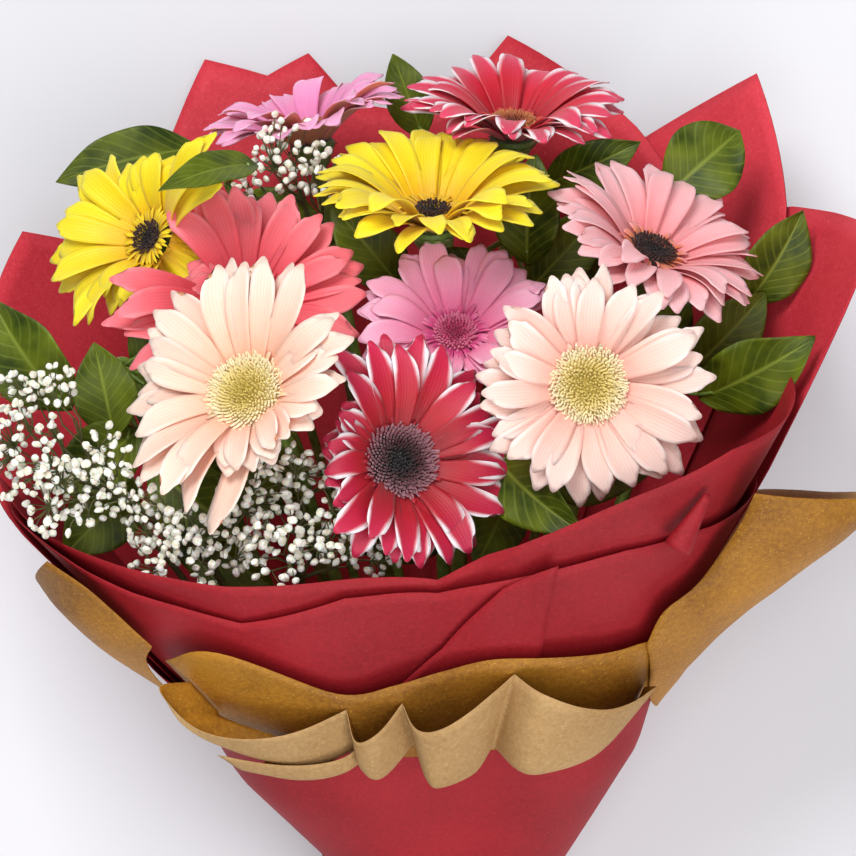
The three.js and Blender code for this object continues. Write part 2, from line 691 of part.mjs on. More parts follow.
for (const [name, bloom] of Object.entries(BLOOMS)) {
  const petalMaterial = new THREE.MeshStandardMaterial({ color: bloom.colour, roughness: 0.6, metalness: 0 });
  const discMaterial = new THREE.MeshStandardMaterial({ color: bloom.eye, roughness: 0.85, metalness: 0 });
  addPart(`gerbera_${name}_petals`, petals(bloom), petalMaterial);
  addPart(`gerbera_${name}_disc`, disc(bloom), discMaterial);
  addPart(`gerbera_${name}_stem`, bloomStem(bloom, stemOf(name)), green);
}
for (const [name, leafy] of Object.entries(LEAVES)) {
  addPart(`leaves_${name}`, leafyStem(leafy, stemOf(`leaf_${name}`)), leafGreen);
}
for (const [name, one] of Object.entries(SPRAYS)) {
  addPart(`gypsophila_${name}`, spray(one, stemOf(`spray_${name}`)), white);
}
for (const [name, one] of Object.entries(SHEETS)) {
  addPart(name, sheet(one), RED);
}
for (const [name, lines] of Object.entries(KRAFTS)) {
  addPart(name, kraft(lines), KRAFT);
}

const bundle = Math.max(...stems.map((stem) => Math.hypot(stem.side, stem.front) + stem.radius));
addPart('tie_twine', ring(bundle + 2 * GAP, WAIST - GAP, -5, 5, 24), jute);
const wrapped = WAIST + SLEEVE_LAYER * PITCH + PAPER;
addPart('ribbon_band', ring(wrapped + 2 * GAP, wrapped + 2 * GAP + 1, -8, 8, 24), satin);

// centre the bunch over the origin and stand it on the table
bunch.updateMatrixWorld(true);
const box = new THREE.Box3().setFromObject(bunch);
bunch.position.set(-(box.min.x + box.max.x) / 2, -(box.min.y + box.max.y) / 2, -box.min.z);

export default bunch;
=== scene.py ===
import math
import random

import bpy
import numpy as np
from mathutils import Matrix, Vector, noise


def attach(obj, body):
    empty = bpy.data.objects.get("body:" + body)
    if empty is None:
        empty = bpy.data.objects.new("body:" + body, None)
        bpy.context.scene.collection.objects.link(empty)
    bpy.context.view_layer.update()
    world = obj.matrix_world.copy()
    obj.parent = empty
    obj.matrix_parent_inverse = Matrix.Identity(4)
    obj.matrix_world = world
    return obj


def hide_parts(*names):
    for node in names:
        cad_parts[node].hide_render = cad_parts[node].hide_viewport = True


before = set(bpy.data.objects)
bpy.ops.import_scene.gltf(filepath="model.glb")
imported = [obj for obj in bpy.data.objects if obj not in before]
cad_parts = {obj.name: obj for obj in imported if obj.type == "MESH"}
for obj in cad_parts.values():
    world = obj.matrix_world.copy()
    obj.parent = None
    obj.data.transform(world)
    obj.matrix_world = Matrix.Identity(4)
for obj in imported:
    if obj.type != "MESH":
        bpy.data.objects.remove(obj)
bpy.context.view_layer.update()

# ---- The table, the light and the place the photograph was taken from ----
# The bunch has no vase, so it lies on its back on a pale laminate table, in soft studio light, and
# the camera looks straight down on it. Places are in mm from the point under the picture's middle,
# and metres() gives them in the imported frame.
LAYOUT_SHIFT = Vector((3.7676, 71.8805, 0.0))
CAMERA_HEIGHT = 1700.0
FLOWER_HEIGHT = 230.0
LIT_POINT = (0, 0, 150)
MM_PER_PIXEL = 0.455          # at the height of the flowers
PICTURE = 856
SENSOR = 36.0
TABLE_HALF = 4                # metres
LIGHTS = [
    # name, place in mm, side in mm, watts
    ("window", (-600, 1250, 1750), 1000, 34),
    ("ceiling", (300, -300, 1900), 1600, 20),
    ("reflector", (500, -1400, 1000), 1000, 13),
]


def metres(point):
    return (Vector(point) + LAYOUT_SHIFT) / 1000


def linear(code):
    """An sRGB hex colour as the linear colour that a shader takes."""
    shares = [int(code[i:i + 2], 16) / 255 for i in (0, 2, 4)]
    return [c / 12.92 if c <= 0.04045 else ((c + 0.055) / 1.055) ** 2.4 for c in shares] + [1.0]


def feed(tree, node, links):
    """Gives a node's inputs, by name or in their order, a value, a socket or another node."""
    for key, value in links.items() if isinstance(links, dict) else enumerate(links):
        socket = node.inputs[key] if isinstance(key, int) else next(
            s for s in node.inputs if s.enabled and s.name == key)
        if isinstance(value, bpy.types.Node):
            value = next(s for s in value.outputs if s.enabled)
        if isinstance(value, bpy.types.NodeSocket):
            tree.links.new(value, socket)
        else:
            socket.default_value = value


def add(tree, kind, links=(), stops=(), curve=(), **settings):
    """Adds one node with its settings and links, its ramp's stops or its curve's points."""
    node = tree.nodes.new(kind)
    for key, value in settings.items():
        setattr(node, key, value)
    feed(tree, node, links)
    for at, _ in stops[1:-1]:
        node.color_ramp.elements.new(at)
    for number, (at, code) in enumerate(stops):
        node.color_ramp.elements[number].position = at
        node.color_ramp.elements[number].color = linear(code)
    if curve:
        points = node.mapping.curves[0].points
        points[0].location = curve[0]
        points[1].location = curve[-1]
        for point in curve[1:-1]:
            points.new(*point)
        node.mapping.update()
    return node


def material(name, **sockets):
    """A material with its shader's own sockets set; what varies is fed to it afterwards."""
    made = bpy.data.materials.new(name)
    made.use_nodes = True
    shader = made.node_tree.nodes["Principled BSDF"]
    feed(made.node_tree, shader, {key.replace("_", " "): sockets[key] for key in sockets})
    return made, made.node_tree, shader


scene = bpy.context.scene
scene.view_settings.view_transform = "Standard"

camera = bpy.data.objects.new("camera", bpy.data.cameras.new("camera"))
camera.data.sensor_width = SENSOR
camera.data.lens = SENSOR * (CAMERA_HEIGHT - FLOWER_HEIGHT) / (PICTURE * MM_PER_PIXEL)
camera.data.clip_start = 0.05
camera.location = metres((0, 0, CAMERA_HEIGHT))
scene.collection.objects.link(camera)
scene.camera = camera

for name, place, side, watts in LIGHTS:
    lamp = bpy.data.lights.new(name, "AREA")
    lamp.size = side / 1000
    lamp.energy = watts
    light = bpy.data.objects.new(name, lamp)
    light.location = metres(place)
    light.rotation_euler = (metres(LIT_POINT) - light.location).to_track_quat("-Z", "Y").to_euler()
    scene.collection.objects.link(light)
room = bpy.data.worlds.new("room")
room.use_nodes = True
feed(room.node_tree, room.node_tree.nodes["Background"], {
    "Color": linear("F2F4F8"), "Strength": 0.2})
scene.world = room

# Matt laminate, pressed: a little mottled, with no gloss that would mirror the flowers.
laminate, tree, shader = material("laminate_matt_white", Roughness=0.7)
spots = add(tree, "ShaderNodeTexNoise", {"Scale": 3.0, "Detail": 2.0})
shade = add(tree, "ShaderNodeValToRGB", [spots], stops=[(0.0, "DDDDE2"), (1.0, "E6E6EA")])
feed(tree, shader, {"Base Color": shade})

table_top = bpy.data.meshes.new("table_top")
table_top.from_pydata([(TABLE_HALF * x, TABLE_HALF * y, 0) for x, y in
                       [(-1, -1), (1, -1), (1, 1), (-1, 1)]], [], [(0, 1, 2, 3)])
table_top.materials.append(laminate)
table = bpy.data.objects.new("table_top", table_top)
scene.collection.objects.link(table)

# ---- Flower stems ----
# A gerbera stands on one smooth, leafless stem about 7 mm thick. The stems are held at the tie, fan
# out from there round the bunch's axis, and each turns up into its own flower. A place in the bunch
# is its side and front distance from that axis, and its height along it from the tie.
TIE = Vector((17, -252, 38))
UP = Vector((0, 0, 1))
LEAN = math.radians(4)
HANDLE_RISE = math.radians(6)
HEAD_RISE = math.radians(30)
BEND_FROM = -30.0
BEND_TO = 40.0
CURVATURE = (HEAD_RISE - HANDLE_RISE) / (BEND_TO - BEND_FROM)
SIDE = Vector((math.cos(LEAN), math.sin(LEAN), 0))
AHEAD = Vector((-math.sin(LEAN), math.cos(LEAN), 0))
STEM_RADIUS = 3.4
STEM_END = -80.0
FAN_FROM = 5.0
CUT_END = 2.0                 # how much of a packed stem's end is read
STRAIGHT_STEPS = 24
TURN_STEPS = 8


def slope_at(h):
    return HANDLE_RISE + CURVATURE * (min(max(h, BEND_FROM), BEND_TO) - BEND_FROM)


def in_bunch(side, front, h):
    """The point at a place in the bunch; its axis bends evenly near the tie."""
    edge = min(max(h, BEND_FROM), BEND_TO)
    start, end = slope_at(0), slope_at(edge)
    along = (math.sin(end) - math.sin(start)) / CURVATURE + (h - edge) * math.cos(end)
    up = (math.cos(start) - math.cos(end)) / CURVATURE + (h - edge) * math.sin(end)
    slope = slope_at(h)
    return (TIE + AHEAD * (along - front * math.sin(slope)) + SIDE * side
            + Vector((0, 0, up + front * math.cos(slope))))


def place_in_bunch(point):
    """Side, front and height of a point beyond the bend."""
    offset = Vector(point) - in_bunch(0, 0, BEND_TO)
    axis = AHEAD * math.cos(HEAD_RISE) + UP * math.sin(HEAD_RISE)
    front = UP * math.cos(HEAD_RISE) - AHEAD * math.sin(HEAD_RISE)
    return offset.dot(SIDE), offset.dot(front), BEND_TO + offset.dot(axis)


def node_tree(name, **inputs):
    """A tree that takes and gives geometry, with its named inputs, the last one its material."""
    tree = bpy.data.node_groups.new(name, "GeometryNodeTree")
    tree.interface.new_socket("Geometry", in_out="OUTPUT", socket_type="NodeSocketGeometry")
    for word, kind in dict(Geometry="Geometry", **inputs, Material="Material").items():
        tree.interface.new_socket(
            word.replace("_", " "), in_out="INPUT", socket_type="NodeSocket" + kind)
    return tree, add(tree, "NodeGroupInput").outputs


def end_tree(tree, given, geometry):
    """Ends a tree: its copies are made real and take the material that it is given."""
    real = add(tree, "GeometryNodeRealizeInstances", [geometry])
    finish = add(tree, "GeometryNodeSetMaterial", {"Geometry": real, "Material": given["Material"]})
    add(tree, "NodeGroupOutput", [finish])


def grow(source, tree_name, **values):
    """The plain mesh that a node tree grows from a mesh of points or lines."""
    holder = bpy.data.objects.new("holder", source)
    scene.collection.objects.link(holder)
    growth = holder.modifiers.new("growth", "NODES")
    growth.node_group = bpy.data.node_groups[tree_name]
    for item in growth.node_group.interface.items_tree:
        word = item.name.replace(" ", "_")
        if item.item_type == "SOCKET" and item.in_out == "INPUT" and word in values:
            growth[item.identifier] = values[word]
    depsgraph = bpy.context.evaluated_depsgraph_get()
    made = bpy.data.meshes.new_from_object(
        holder.evaluated_get(depsgraph), preserve_all_data_layers=True, depsgraph=depsgraph)
    holder.modifiers.clear()
    bpy.data.objects.remove(holder)
    return made


tree, given = node_tree("stem", Radius="Float", Sides="Int")
line = add(tree, "GeometryNodeMeshToCurve", {"Mesh": given["Geometry"]})
section = add(tree, "GeometryNodeCurvePrimitiveCircle", {
    "Resolution": given["Sides"], "Radius": given["Radius"]})
taper = add(tree, "GeometryNodeInputNamedAttribute", {"Name": "taper"}, data_type="FLOAT")
skin = add(tree, "GeometryNodeCurveToMesh", {
    "Curve": line, "Profile Curve": section, "Scale": taper, "Fill Caps": True})
end_tree(tree, given, add(tree, "GeometryNodeSetShadeSmooth", [skin]))


def mottled(name, scale, stops, detail=2.0, relief=0.0, strength=1.0, **sockets):
    """A material in patches of colour, scale of them in a metre, which may stand out in relief."""
    made, tree, shader = material(name, **sockets)
    patches = add(tree, "ShaderNodeTexNoise", {
        "Vector": add(tree, "ShaderNodeTexCoord").outputs["Object"], "Scale": scale,
        "Detail": detail})
    feed(tree, shader, {"Base Color": add(tree, "ShaderNodeValToRGB", [patches], stops=stops)})
    if relief:
        feed(tree, shader, {"Normal": add(tree, "ShaderNodeBump", {
            "Height": patches, "Distance": relief, "Strength": strength})})
    return made


# Fresh stem: waxy green skin over wet tissue, mottled with a paler green, with a soft sheen.
stem_skin = mottled("fresh_stem_green", 160.0, [(0.3, "55752A"), (0.75, "8FAE52")], detail=3.0,
                    relief=0.0003, strength=0.4, Roughness=0.45, Subsurface_Weight=0.15,
                    Subsurface_Scale=0.002)


def polyline(points, tapers=None):
    """An open line as a mesh of edges, each point with the share of the full radius it has."""
    mesh = bpy.data.meshes.new("line")
    mesh.from_pydata([tuple(p) for p in points], [(i, i + 1) for i in range(len(points) - 1)], [])
    share = mesh.attributes.new("taper", "FLOAT", "POINT")
    share.data.foreach_set("value", tapers or [1.0] * len(points))
    return mesh


def stem_place(node):
    """Where a stem passes the tie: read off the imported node's cut end."""
    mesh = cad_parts[node].data
    corners = np.empty(len(mesh.vertices) * 3)
    mesh.vertices.foreach_get("co", corners)
    corners = corners.reshape(-1, 3) * 1000 - np.array(LAYOUT_SHIFT)
    end = Vector(corners[corners[:, 1] < corners[:, 1].min() + CUT_END].mean(0))
    offset = end - in_bunch(0, 0, STEM_END)
    slope = slope_at(STEM_END)
    return offset.dot(SIDE), offset.dot(UP * math.cos(slope) - AHEAD * math.sin(slope))


def bent(start, corner, end, steps):
    """A smooth run from start to end, drawn towards the corner between them."""
    return [start.lerp(corner, i / steps).lerp(corner.lerp(end, i / steps), i / steps)
            for i in range(steps + 1)]


def stem_path(node, neck, direction, turn):
    """From the cut end through the tie to a head, turning into its direction at the top."""
    at_side, at_front = stem_place(node)
    corner = neck - direction * turn
    side, front, h = place_in_bunch(corner)

    def fanned(height):
        t = max(height - FAN_FROM, 0) / (h - FAN_FROM)
        return in_bunch(at_side + (side - at_side) * t, at_front + (front - at_front) * t, height)

    top = h - turn
    straight = [fanned(STEM_END + (top - STEM_END) * i / STRAIGHT_STEPS)
                for i in range(STRAIGHT_STEPS)]
    return straight + bent(fanned(top), corner, neck, TURN_STEPS)


# ---- Gerbera heads: ray petals, fringe, disc and calyx ----
# A head is a disc of tiny tubular florets with strap petals rooted round it: two full rows, five
# more on top and a fringe of narrow ones. A green cup with bracts clasps it and sits on the stem.
# Petals are free at their tips, and are pushed aside where two heads press on each other.
PETAL_ROOT = 10.0
PETAL_HALF = 6.7
PETAL_WALL = 0.45
PETAL_TIP_CUT = 0.12          # how far its edges stop short of its tip, in petal lengths
RIB_WAVE = 8.4                # radians of the ribs' wave from the midline to an edge
RIB_DEPTH = 0.02              # in half widths
LOOSE_PETAL = ((math.radians(-97), 0.3, -0.2), (PETAL_ROOT, 66, 7.4), (-2.0, 1.0, 6.0), 1.0)
FRINGE_PETALS = 44
FRINGE_INSET = 2.5            # how far under the disc's edge they root
DISC_HEIGHT = 6.0
LARGE_DISC = 12               # radius past which the florets stand taller
FLORET_LENGTHS = (1.6, 2.4)
FLORET_RADIUS = 0.66
FLORETS_PER_SQUARE = 1.5      # in a square as wide as the disc's radius
GOLDEN_ANGLE = math.pi * (3 - math.sqrt(5))
CALYX_TOP = -3.6
CALYX_DEPTH = 15.0
BRACTS = 14                   # in each of two rows
CUP_SIDES = 20
CUP_PROFILE = [(3.4, CALYX_DEPTH), (6.5, 12), (9.5, 7), (11.5, 2), (11.0, 0)]  # radius, depth
NECK_DEPTH = 0.7              # how far under its top the stem ends, in calyx depths
STEM_TURN = 26.0
HEAD_SEED = 400
# turn from row to row, share of the reach, height of the root, share of the cup, petals
PETAL_ROWS = [(0.0, 1.0, -2.2, 1.0, 18), (0.5, 0.95, -0.9, 1.12, 18), (0.3, 0.88, 0.2, 1.2, 5)]

# each petal is one flat strap, shaped by its own numbers: aim is its turn, twist and bend, size its
# root, reach and half width, rise its lift, cup and droop
tree, given = node_tree("petals", Steps_Along="Int", Steps_Across="Int", Gutter="Float")
strap = add(tree, "GeometryNodeMeshGrid", {
    "Size X": 1.0, "Size Y": 2.0, "Vertices X": given["Steps Along"],
    "Vertices Y": given["Steps Across"]})
mapped = add(tree, "GeometryNodeStoreNamedAttribute", {
    "Geometry": strap, "Name": "UVMap", "Value": strap.outputs["UV Map"]},
    data_type="FLOAT2", domain="CORNER")
copies = add(tree, "GeometryNodeInstanceOnPoints", {
    "Points": given["Geometry"], "Instance": mapped})
real = add(tree, "GeometryNodeRealizeInstances", [copies])
# place on the strap: s runs from root to tip, t from -1 to 1 across
grid = add(tree, "ShaderNodeSeparateXYZ", [add(tree, "GeometryNodeInputPosition")]).outputs
s = add(tree, "ShaderNodeMath", [grid["X"], 0.5])
t = grid["Y"]
aim, size, rise = [add(tree, "ShaderNodeSeparateXYZ", [add(
    tree, "GeometryNodeInputNamedAttribute", {"Name": word}, data_type="FLOAT_VECTOR")]).outputs
    for word in ("aim", "size", "rise")]
ss = add(tree, "ShaderNodeMath", [s, s], operation="MULTIPLY")
tt = add(tree, "ShaderNodeMath", [t, t], operation="MULTIPLY")
# the tip is rounded: the edges stop short of the midline
late = add(tree, "ShaderNodeMath", [s, 5.0], operation="POWER")
cut = add(tree, "ShaderNodeMath", [late, tt], operation="MULTIPLY")
reached = add(tree, "ShaderNodeMath", [cut, -PETAL_TIP_CUT, s], operation="MULTIPLY_ADD")
length = add(tree, "ShaderNodeMath", [size["Y"], size["X"]], operation="SUBTRACT")
out = add(tree, "ShaderNodeMath", [reached, length, size["X"]], operation="MULTIPLY_ADD")
# width along the petal: a narrow claw, widest past the middle
share = add(tree, "ShaderNodeFloatCurve", {"Value": s}, curve=[
    (0.0, 0.42), (0.3, 0.8), (0.62, 1.0), (0.87, 0.88), (1.0, 0.52)])
half = add(tree, "ShaderNodeMath", [share, size["Z"]], operation="MULTIPLY")
across = add(tree, "ShaderNodeMath", [half, t], operation="MULTIPLY")
# the blade is a shallow gutter, with two ribs pressed along it
trough = add(tree, "ShaderNodeMath", [tt, given["Gutter"]], operation="MULTIPLY")
wave = add(tree, "ShaderNodeMath", [t, RIB_WAVE], operation="MULTIPLY")
ribs = add(tree, "ShaderNodeMath", [wave], operation="COSINE")
grooved = add(tree, "ShaderNodeMath", [ribs, RIB_DEPTH, trough], operation="MULTIPLY_ADD")
deep = add(tree, "ShaderNodeMath", [grooved, half], operation="MULTIPLY")
twist = add(tree, "ShaderNodeMath", [aim["Y"], s], operation="MULTIPLY")
blade = add(tree, "ShaderNodeVectorRotate", {
    "Vector": add(tree, "ShaderNodeCombineXYZ", {"Y": across, "Z": deep}), "Angle": twist},
    rotation_type="X_AXIS")
# the midline climbs out of the head, levels off and droops towards its tip
climb = add(tree, "ShaderNodeMath", [s, 2.0], operation="MULTIPLY")
bow = add(tree, "ShaderNodeMath", [climb, ss], operation="SUBTRACT")
cupped = add(tree, "ShaderNodeMath", [bow, rise["Y"], rise["X"]], operation="MULTIPLY_ADD")
cube = add(tree, "ShaderNodeMath", [ss, s], operation="MULTIPLY")
drop = add(tree, "ShaderNodeMath", [cube, rise["Z"]], operation="MULTIPLY")
lift = add(tree, "ShaderNodeMath", [cupped, drop], operation="SUBTRACT")
laid = add(tree, "ShaderNodeVectorMath", [
    blade, add(tree, "ShaderNodeCombineXYZ", {"X": out, "Z": lift})])
swing = add(tree, "ShaderNodeMath", [ss, aim["Z"], aim["X"]], operation="MULTIPLY_ADD")
turned = add(tree, "ShaderNodeVectorRotate", {"Vector": laid, "Angle": swing},
             rotation_type="Z_AXIS")
shaped = add(tree, "GeometryNodeSetPosition", {"Geometry": real, "Position": turned})
end_tree(tree, given, add(tree, "GeometryNodeSetShadeSmooth", [shaped]))

tree, given = node_tree("disc_florets", Florets="Int", Radius="Float", Height="Float",
                        Floret_Radius="Float", Floret_Length="Float", Seed="Int")
index = add(tree, "GeometryNodeInputIndex")
# florets open in turn by the golden angle, from the middle out
order = add(tree, "ShaderNodeMath", [index, given["Florets"]], operation="DIVIDE")
fraction = add(tree, "ShaderNodeMath", [order, 0.5], operation="POWER")
radius = add(tree, "ShaderNodeMath", [fraction, given["Radius"]], operation="MULTIPLY")
angle = add(tree, "ShaderNodeMath", [index, GOLDEN_ANGLE], operation="MULTIPLY")
dome = add(tree, "ShaderNodeFloatCurve", {"Value": fraction}, curve=[
    (0.0, 0.55), (0.3, 0.66), (0.62, 0.95), (0.82, 1.0), (1.0, 0.45)])
level = add(tree, "ShaderNodeMath", [dome, given["Height"]], operation="MULTIPLY")
seat = add(tree, "ShaderNodeVectorRotate", {
    "Vector": add(tree, "ShaderNodeCombineXYZ", {"X": radius, "Z": level}), "Angle": angle},
    rotation_type="Z_AXIS")
seats = add(tree, "GeometryNodePoints", [given["Florets"], seat])
marked = add(tree, "GeometryNodeStoreNamedAttribute", {
    "Geometry": seats, "Name": "fraction", "Value": fraction}, data_type="FLOAT")
# an open floret is a small five-sided tube, splayed outwards near the rim
tip = add(tree, "ShaderNodeMath", [given["Floret Radius"], 0.62], operation="MULTIPLY")
floret = add(tree, "GeometryNodeMeshCone", {
    "Vertices": 5, "Radius Top": tip, "Radius Bottom": given["Floret Radius"],
    "Depth": given["Floret Length"]})
lean = add(tree, "ShaderNodeMath", [fraction, 0.7], operation="MULTIPLY")
wobble = add(tree, "FunctionNodeRandomValue", {
    "Min": -0.35, "Max": 0.35, "ID": index, "Seed": given["Seed"]}, data_type="FLOAT")
splay = add(tree, "ShaderNodeMath", [lean, wobble])
pose = add(tree, "ShaderNodeCombineXYZ", [wobble, splay, angle])
stretch = add(tree, "FunctionNodeRandomValue", {
    "Min": (0.75, 0.75, 0.7), "Max": (1.2, 1.2, 1.5), "ID": index, "Seed": given["Seed"]},
    data_type="FLOAT_VECTOR")
planted = add(tree, "GeometryNodeInstanceOnPoints", {
    "Points": marked, "Instance": floret, "Scale": stretch,
    "Rotation": add(tree, "FunctionNodeEulerToRotation", [pose])})
# they stand on a low bed a little narrower than the disc
bed_radius = add(tree, "ShaderNodeMath", [given["Radius"], 0.97], operation="MULTIPLY")
bed_height = add(tree, "ShaderNodeMath", [given["Height"], 0.5], operation="MULTIPLY")
bed = add(tree, "GeometryNodeMeshCone", {
    "Vertices": 28, "Radius Top": bed_radius, "Radius Bottom": bed_radius, "Depth": bed_height})
together = add(tree, "GeometryNodeJoinGeometry")
feed(tree, together, [planted])
feed(tree, together, [bed])
end_tree(tree, given, together)


def petal_skin(name, root, middle, tip, margin, margin_share):
    """Ray petal: thin wet tissue with a velvety, finely grooved face that glows a little with
    the light behind it. Eight grooves lie about 1.6 mm apart; the colour runs from root to tip
    and to the margin, in ragged patches 5 mm across."""
    made, tree, shader = material(
        name, Roughness=0.55, Subsurface_Weight=0.25, Subsurface_Radius=(1.0, 0.5, 0.4),
        Subsurface_Scale=0.002, Sheen_Weight=0.12)
    uv = add(tree, "ShaderNodeUVMap", uv_map="UVMap")
    grid = add(tree, "ShaderNodeSeparateXYZ", [uv]).outputs
    tone = add(tree, "ShaderNodeAttribute", attribute_name="tone")
    blotch = add(tree, "ShaderNodeTexNoise", {
        "Vector": add(tree, "ShaderNodeTexCoord").outputs["Object"], "Scale": 180.0})
    ragged = add(tree, "ShaderNodeMath", [blotch, 0.16, -0.08], operation="MULTIPLY_ADD")
    along = add(tree, "ShaderNodeMath", [grid["X"], ragged])
    shade = add(tree, "ShaderNodeValToRGB", [along],
                stops=[(0.0, root), (0.42, middle), (0.97, tip)])
    # how near the margin: nothing in the middle, full at either edge
    side = add(tree, "ShaderNodeMath", [grid["Y"], 2.0, -1.0], operation="MULTIPLY_ADD")
    away = add(tree, "ShaderNodeMath", [side], operation="ABSOLUTE")
    reach = add(tree, "ShaderNodeMath", [along, 0.75], operation="MULTIPLY")
    near = add(tree, "ShaderNodeMath", [away, reach], operation="MULTIPLY")
    rim = add(tree, "ShaderNodeMapRange", {
        "Value": near, "From Min": 0.3, "From Max": 0.56, "To Min": 0.0,
        "To Max": margin_share}, interpolation_type="SMOOTHSTEP")
    edged = add(tree, "ShaderNodeMix", {"Factor": rim, "A": shade, "B": linear(margin)},
                data_type="RGBA")
    lines = add(tree, "ShaderNodeTexWave", {
        "Vector": add(tree, "ShaderNodeCombineXYZ", [grid["Y"]]), "Scale": 2.6,
        "Distortion": 0.6}, bands_direction="X").outputs["Fac"]
    # the colour is up to 6% darker in the grooves' troughs and 2% lighter on their ridges: painted
    # shade and painted highlight
    groove_painted_shade = add(tree, "ShaderNodeMapRange", {"Value": lines, "To Min": 0.94, "To Max": 1.02})
    toned = add(tree, "ShaderNodeMath", [tone.outputs["Fac"], groove_painted_shade], operation="MULTIPLY")
    lit = add(tree, "ShaderNodeHueSaturation", {"Value": toned, "Color": edged})
    groove = add(tree, "ShaderNodeBump", {"Height": lines, "Distance": 0.0002, "Strength": 0.25})
    feed(tree, shader, {"Base Color": lit, "Normal": groove})
    return made


def floret_skin(name, middle, ring, rim):
    """Disc florets: packed tubes a millimetre across, matt and dusty with pollen 1.4 mm in its
    grain, changing colour from the closed buds in the middle to the open ones at the rim."""
    made, tree, shader = material(name, Roughness=0.8, Sheen_Weight=0.2)
    fraction = add(tree, "ShaderNodeAttribute", attribute_name="fraction")
    pollen = add(tree, "ShaderNodeTexNoise", {
        "Vector": add(tree, "ShaderNodeTexCoord").outputs["Object"], "Scale": 700.0})
    mixed = add(tree, "ShaderNodeMath", [pollen, 0.5, fraction.outputs["Fac"]],
                operation="MULTIPLY_ADD")
    level = add(tree, "ShaderNodeMath", [mixed, 0.25], operation="SUBTRACT")
    shade = add(tree, "ShaderNodeValToRGB", [level],
                stops=[(0.22, middle), (0.5, ring), (0.9, rim)])
    grain = add(tree, "ShaderNodeBump", {"Height": pollen, "Distance": 0.0004})
    feed(tree, shader, {"Base Color": shade, "Normal": grain})
    return made


# each kind of disc: its slot word, and its colours from the middle to the rim
DISCS = {
    "cream": ("cream", "D8C260", "EEDA8A", "FAF0CC"),
    "rose": ("cream", "A82858", "C84878", "E080A4"),
    "dark": ("dark", "1A0508", "1E0A08", "3A1408"),
    "brown": ("brown", "6E2A18", "A8532F", "D08850"),
    "wine": ("wine", "0C0305", "4A161E", "A4707A"),
}
# each head's middle, the way it faces, its petals' reach and cup, its kind of disc, petal colours
# from root to tip with the margin's and how strongly that shows, the colour of the petals' backs,
# the disc's radius, the fringe's colour and reach; where other heads press on it, sectors give
# their middle, half width, reach and, if it differs too, cup
BLOOMS = {
    "mauve": dict(at=(-59, 146, 85), face=(-0.2, 0.94, 0.27), reach=53, cup=17, disc="brown",
                  skin=("DC72A8", "FA92C4", "FFAAD2", "FFC4E0", 0.5), back="D8926A",
                  radius=11, fringe=("E08A70", 17)),
    "crimson": dict(at=(42, 148, 95), face=(0.05, 0.9, 0.42), reach=57, cup=18, disc="brown",
                    skin=("A80618", "D2122E", "E23A62", "FFF0F4", 1.0), back="CC4458",
                    radius=11, fringe=("D85030", 18)),
    "lemon": dict(at=(-130, 89, 165), face=(-0.6, 0.3, 0.74), reach=55, cup=17, disc="dark",
                  skin=("F5B400", "FFDC00", "FFE61C", "FFEE50", 0.3), back="EFD020",
                  radius=8, fringe=("F7C810", 16),
                  sectors=[(-36, 44, 27, -14), (25, 18, 62), (78, 35, 43), (-105, 26, 42)]),
    "coral": dict(at=(-86, 57, 172), face=(0.12, 0.35, 0.93), reach=59, cup=14, disc="cream",
                  skin=("D42C40", "F65462", "FF7A84", "FF9CA2", 0.4), back="EA626C",
                  radius=12, fringe=("F0505A", 22),
                  sectors=[(-70, 50, 34), (121, 12, 63, 20), (152, 19, 34, 10),
                           (183, 12, 68, 24), (210, 15, 70, 22)]),
    "peach": dict(at=(-81, 15, 235), face=(-0.35, 0.35, 0.87), reach=57, cup=14, disc="cream",
                  skin=("F8A882", "FFC8B0", "FFDCCB", "FFF0E6", 0.5), back="E88A50",
                  radius=17.5, fringe=("FFD2A0", 21),
                  sectors=[(90, 42, 67), (225, 26, 64), (-65, 45, 42), (0, 20, 51)]),
    "yellow": dict(at=(2, 100, 155), face=(0, 0.87, 0.5), reach=60, cup=23, disc="dark",
                   skin=("F5AC00", "FFDC00", "FFE61C", "FFEE50", 0.3), back="F0D21E",
                   radius=8, fringe=("F5B820", 18)),
    "pink": dict(at=(13, 43, 165), face=(0, 0.52, 0.86), reach=49, cup=17, disc="rose",
                 skin=("F0649A", "FF9AC0", "FFB6D2", "FFCAE0", 0.4), back="F490B8",
                 radius=10, fringe=("D84888", 19),
                 sectors=[(-90, 60, 36), (90, 14, 42)]),
    "raspberry": dict(at=(-14, -16, 210), face=(0.37, 0.2, 0.9), reach=55, cup=14, disc="wine",
                      skin=("800008", "B0001C", "C81A4A", "FFF4F8", 1.0), back="B03A5A",
                      radius=17, fringe=("A81C30", 20),
                      sectors=[(90, 36, 62), (180, 45, 41), (-90, 30, 52), (0, 30, 57)]),
    "blush": dict(at=(73, 20, 220), face=(0.05, -0.05, 1), reach=56, cup=13, disc="cream",
                  skin=("F8A090", "FFC6B6", "FFDACF", "FFF0EA", 0.5), back="F2B8A8",
                  radius=17.5, fringe=("FFD8B0", 21),
                  sectors=[(180, 40, 52), (0, 40, 60)]),
    "salmon": dict(at=(106, 82, 155), face=(0.35, 0.74, 0.57), reach=57, cup=16, disc="dark",
                   skin=("F27E80", "FFAAAE", "FFC0C3", "FFD2D5", 0.4), back="F29498",
                   radius=11, fringe=("F08050", 20),
                   sectors=[(90, 40, 62)]),
}


def piece(name, mesh, node):
    """A finished mesh, laid out in mm, as a piece of the bunch that stands for a CAD node."""
    mesh.transform(Matrix.Scale(0.001, 4) @ Matrix.Translation(LAYOUT_SHIFT))
    mesh.name = name
    made = bpy.data.objects.new(name, mesh)
    scene.collection.objects.link(made)
    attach(made, "root")
    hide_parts(node)
    return made


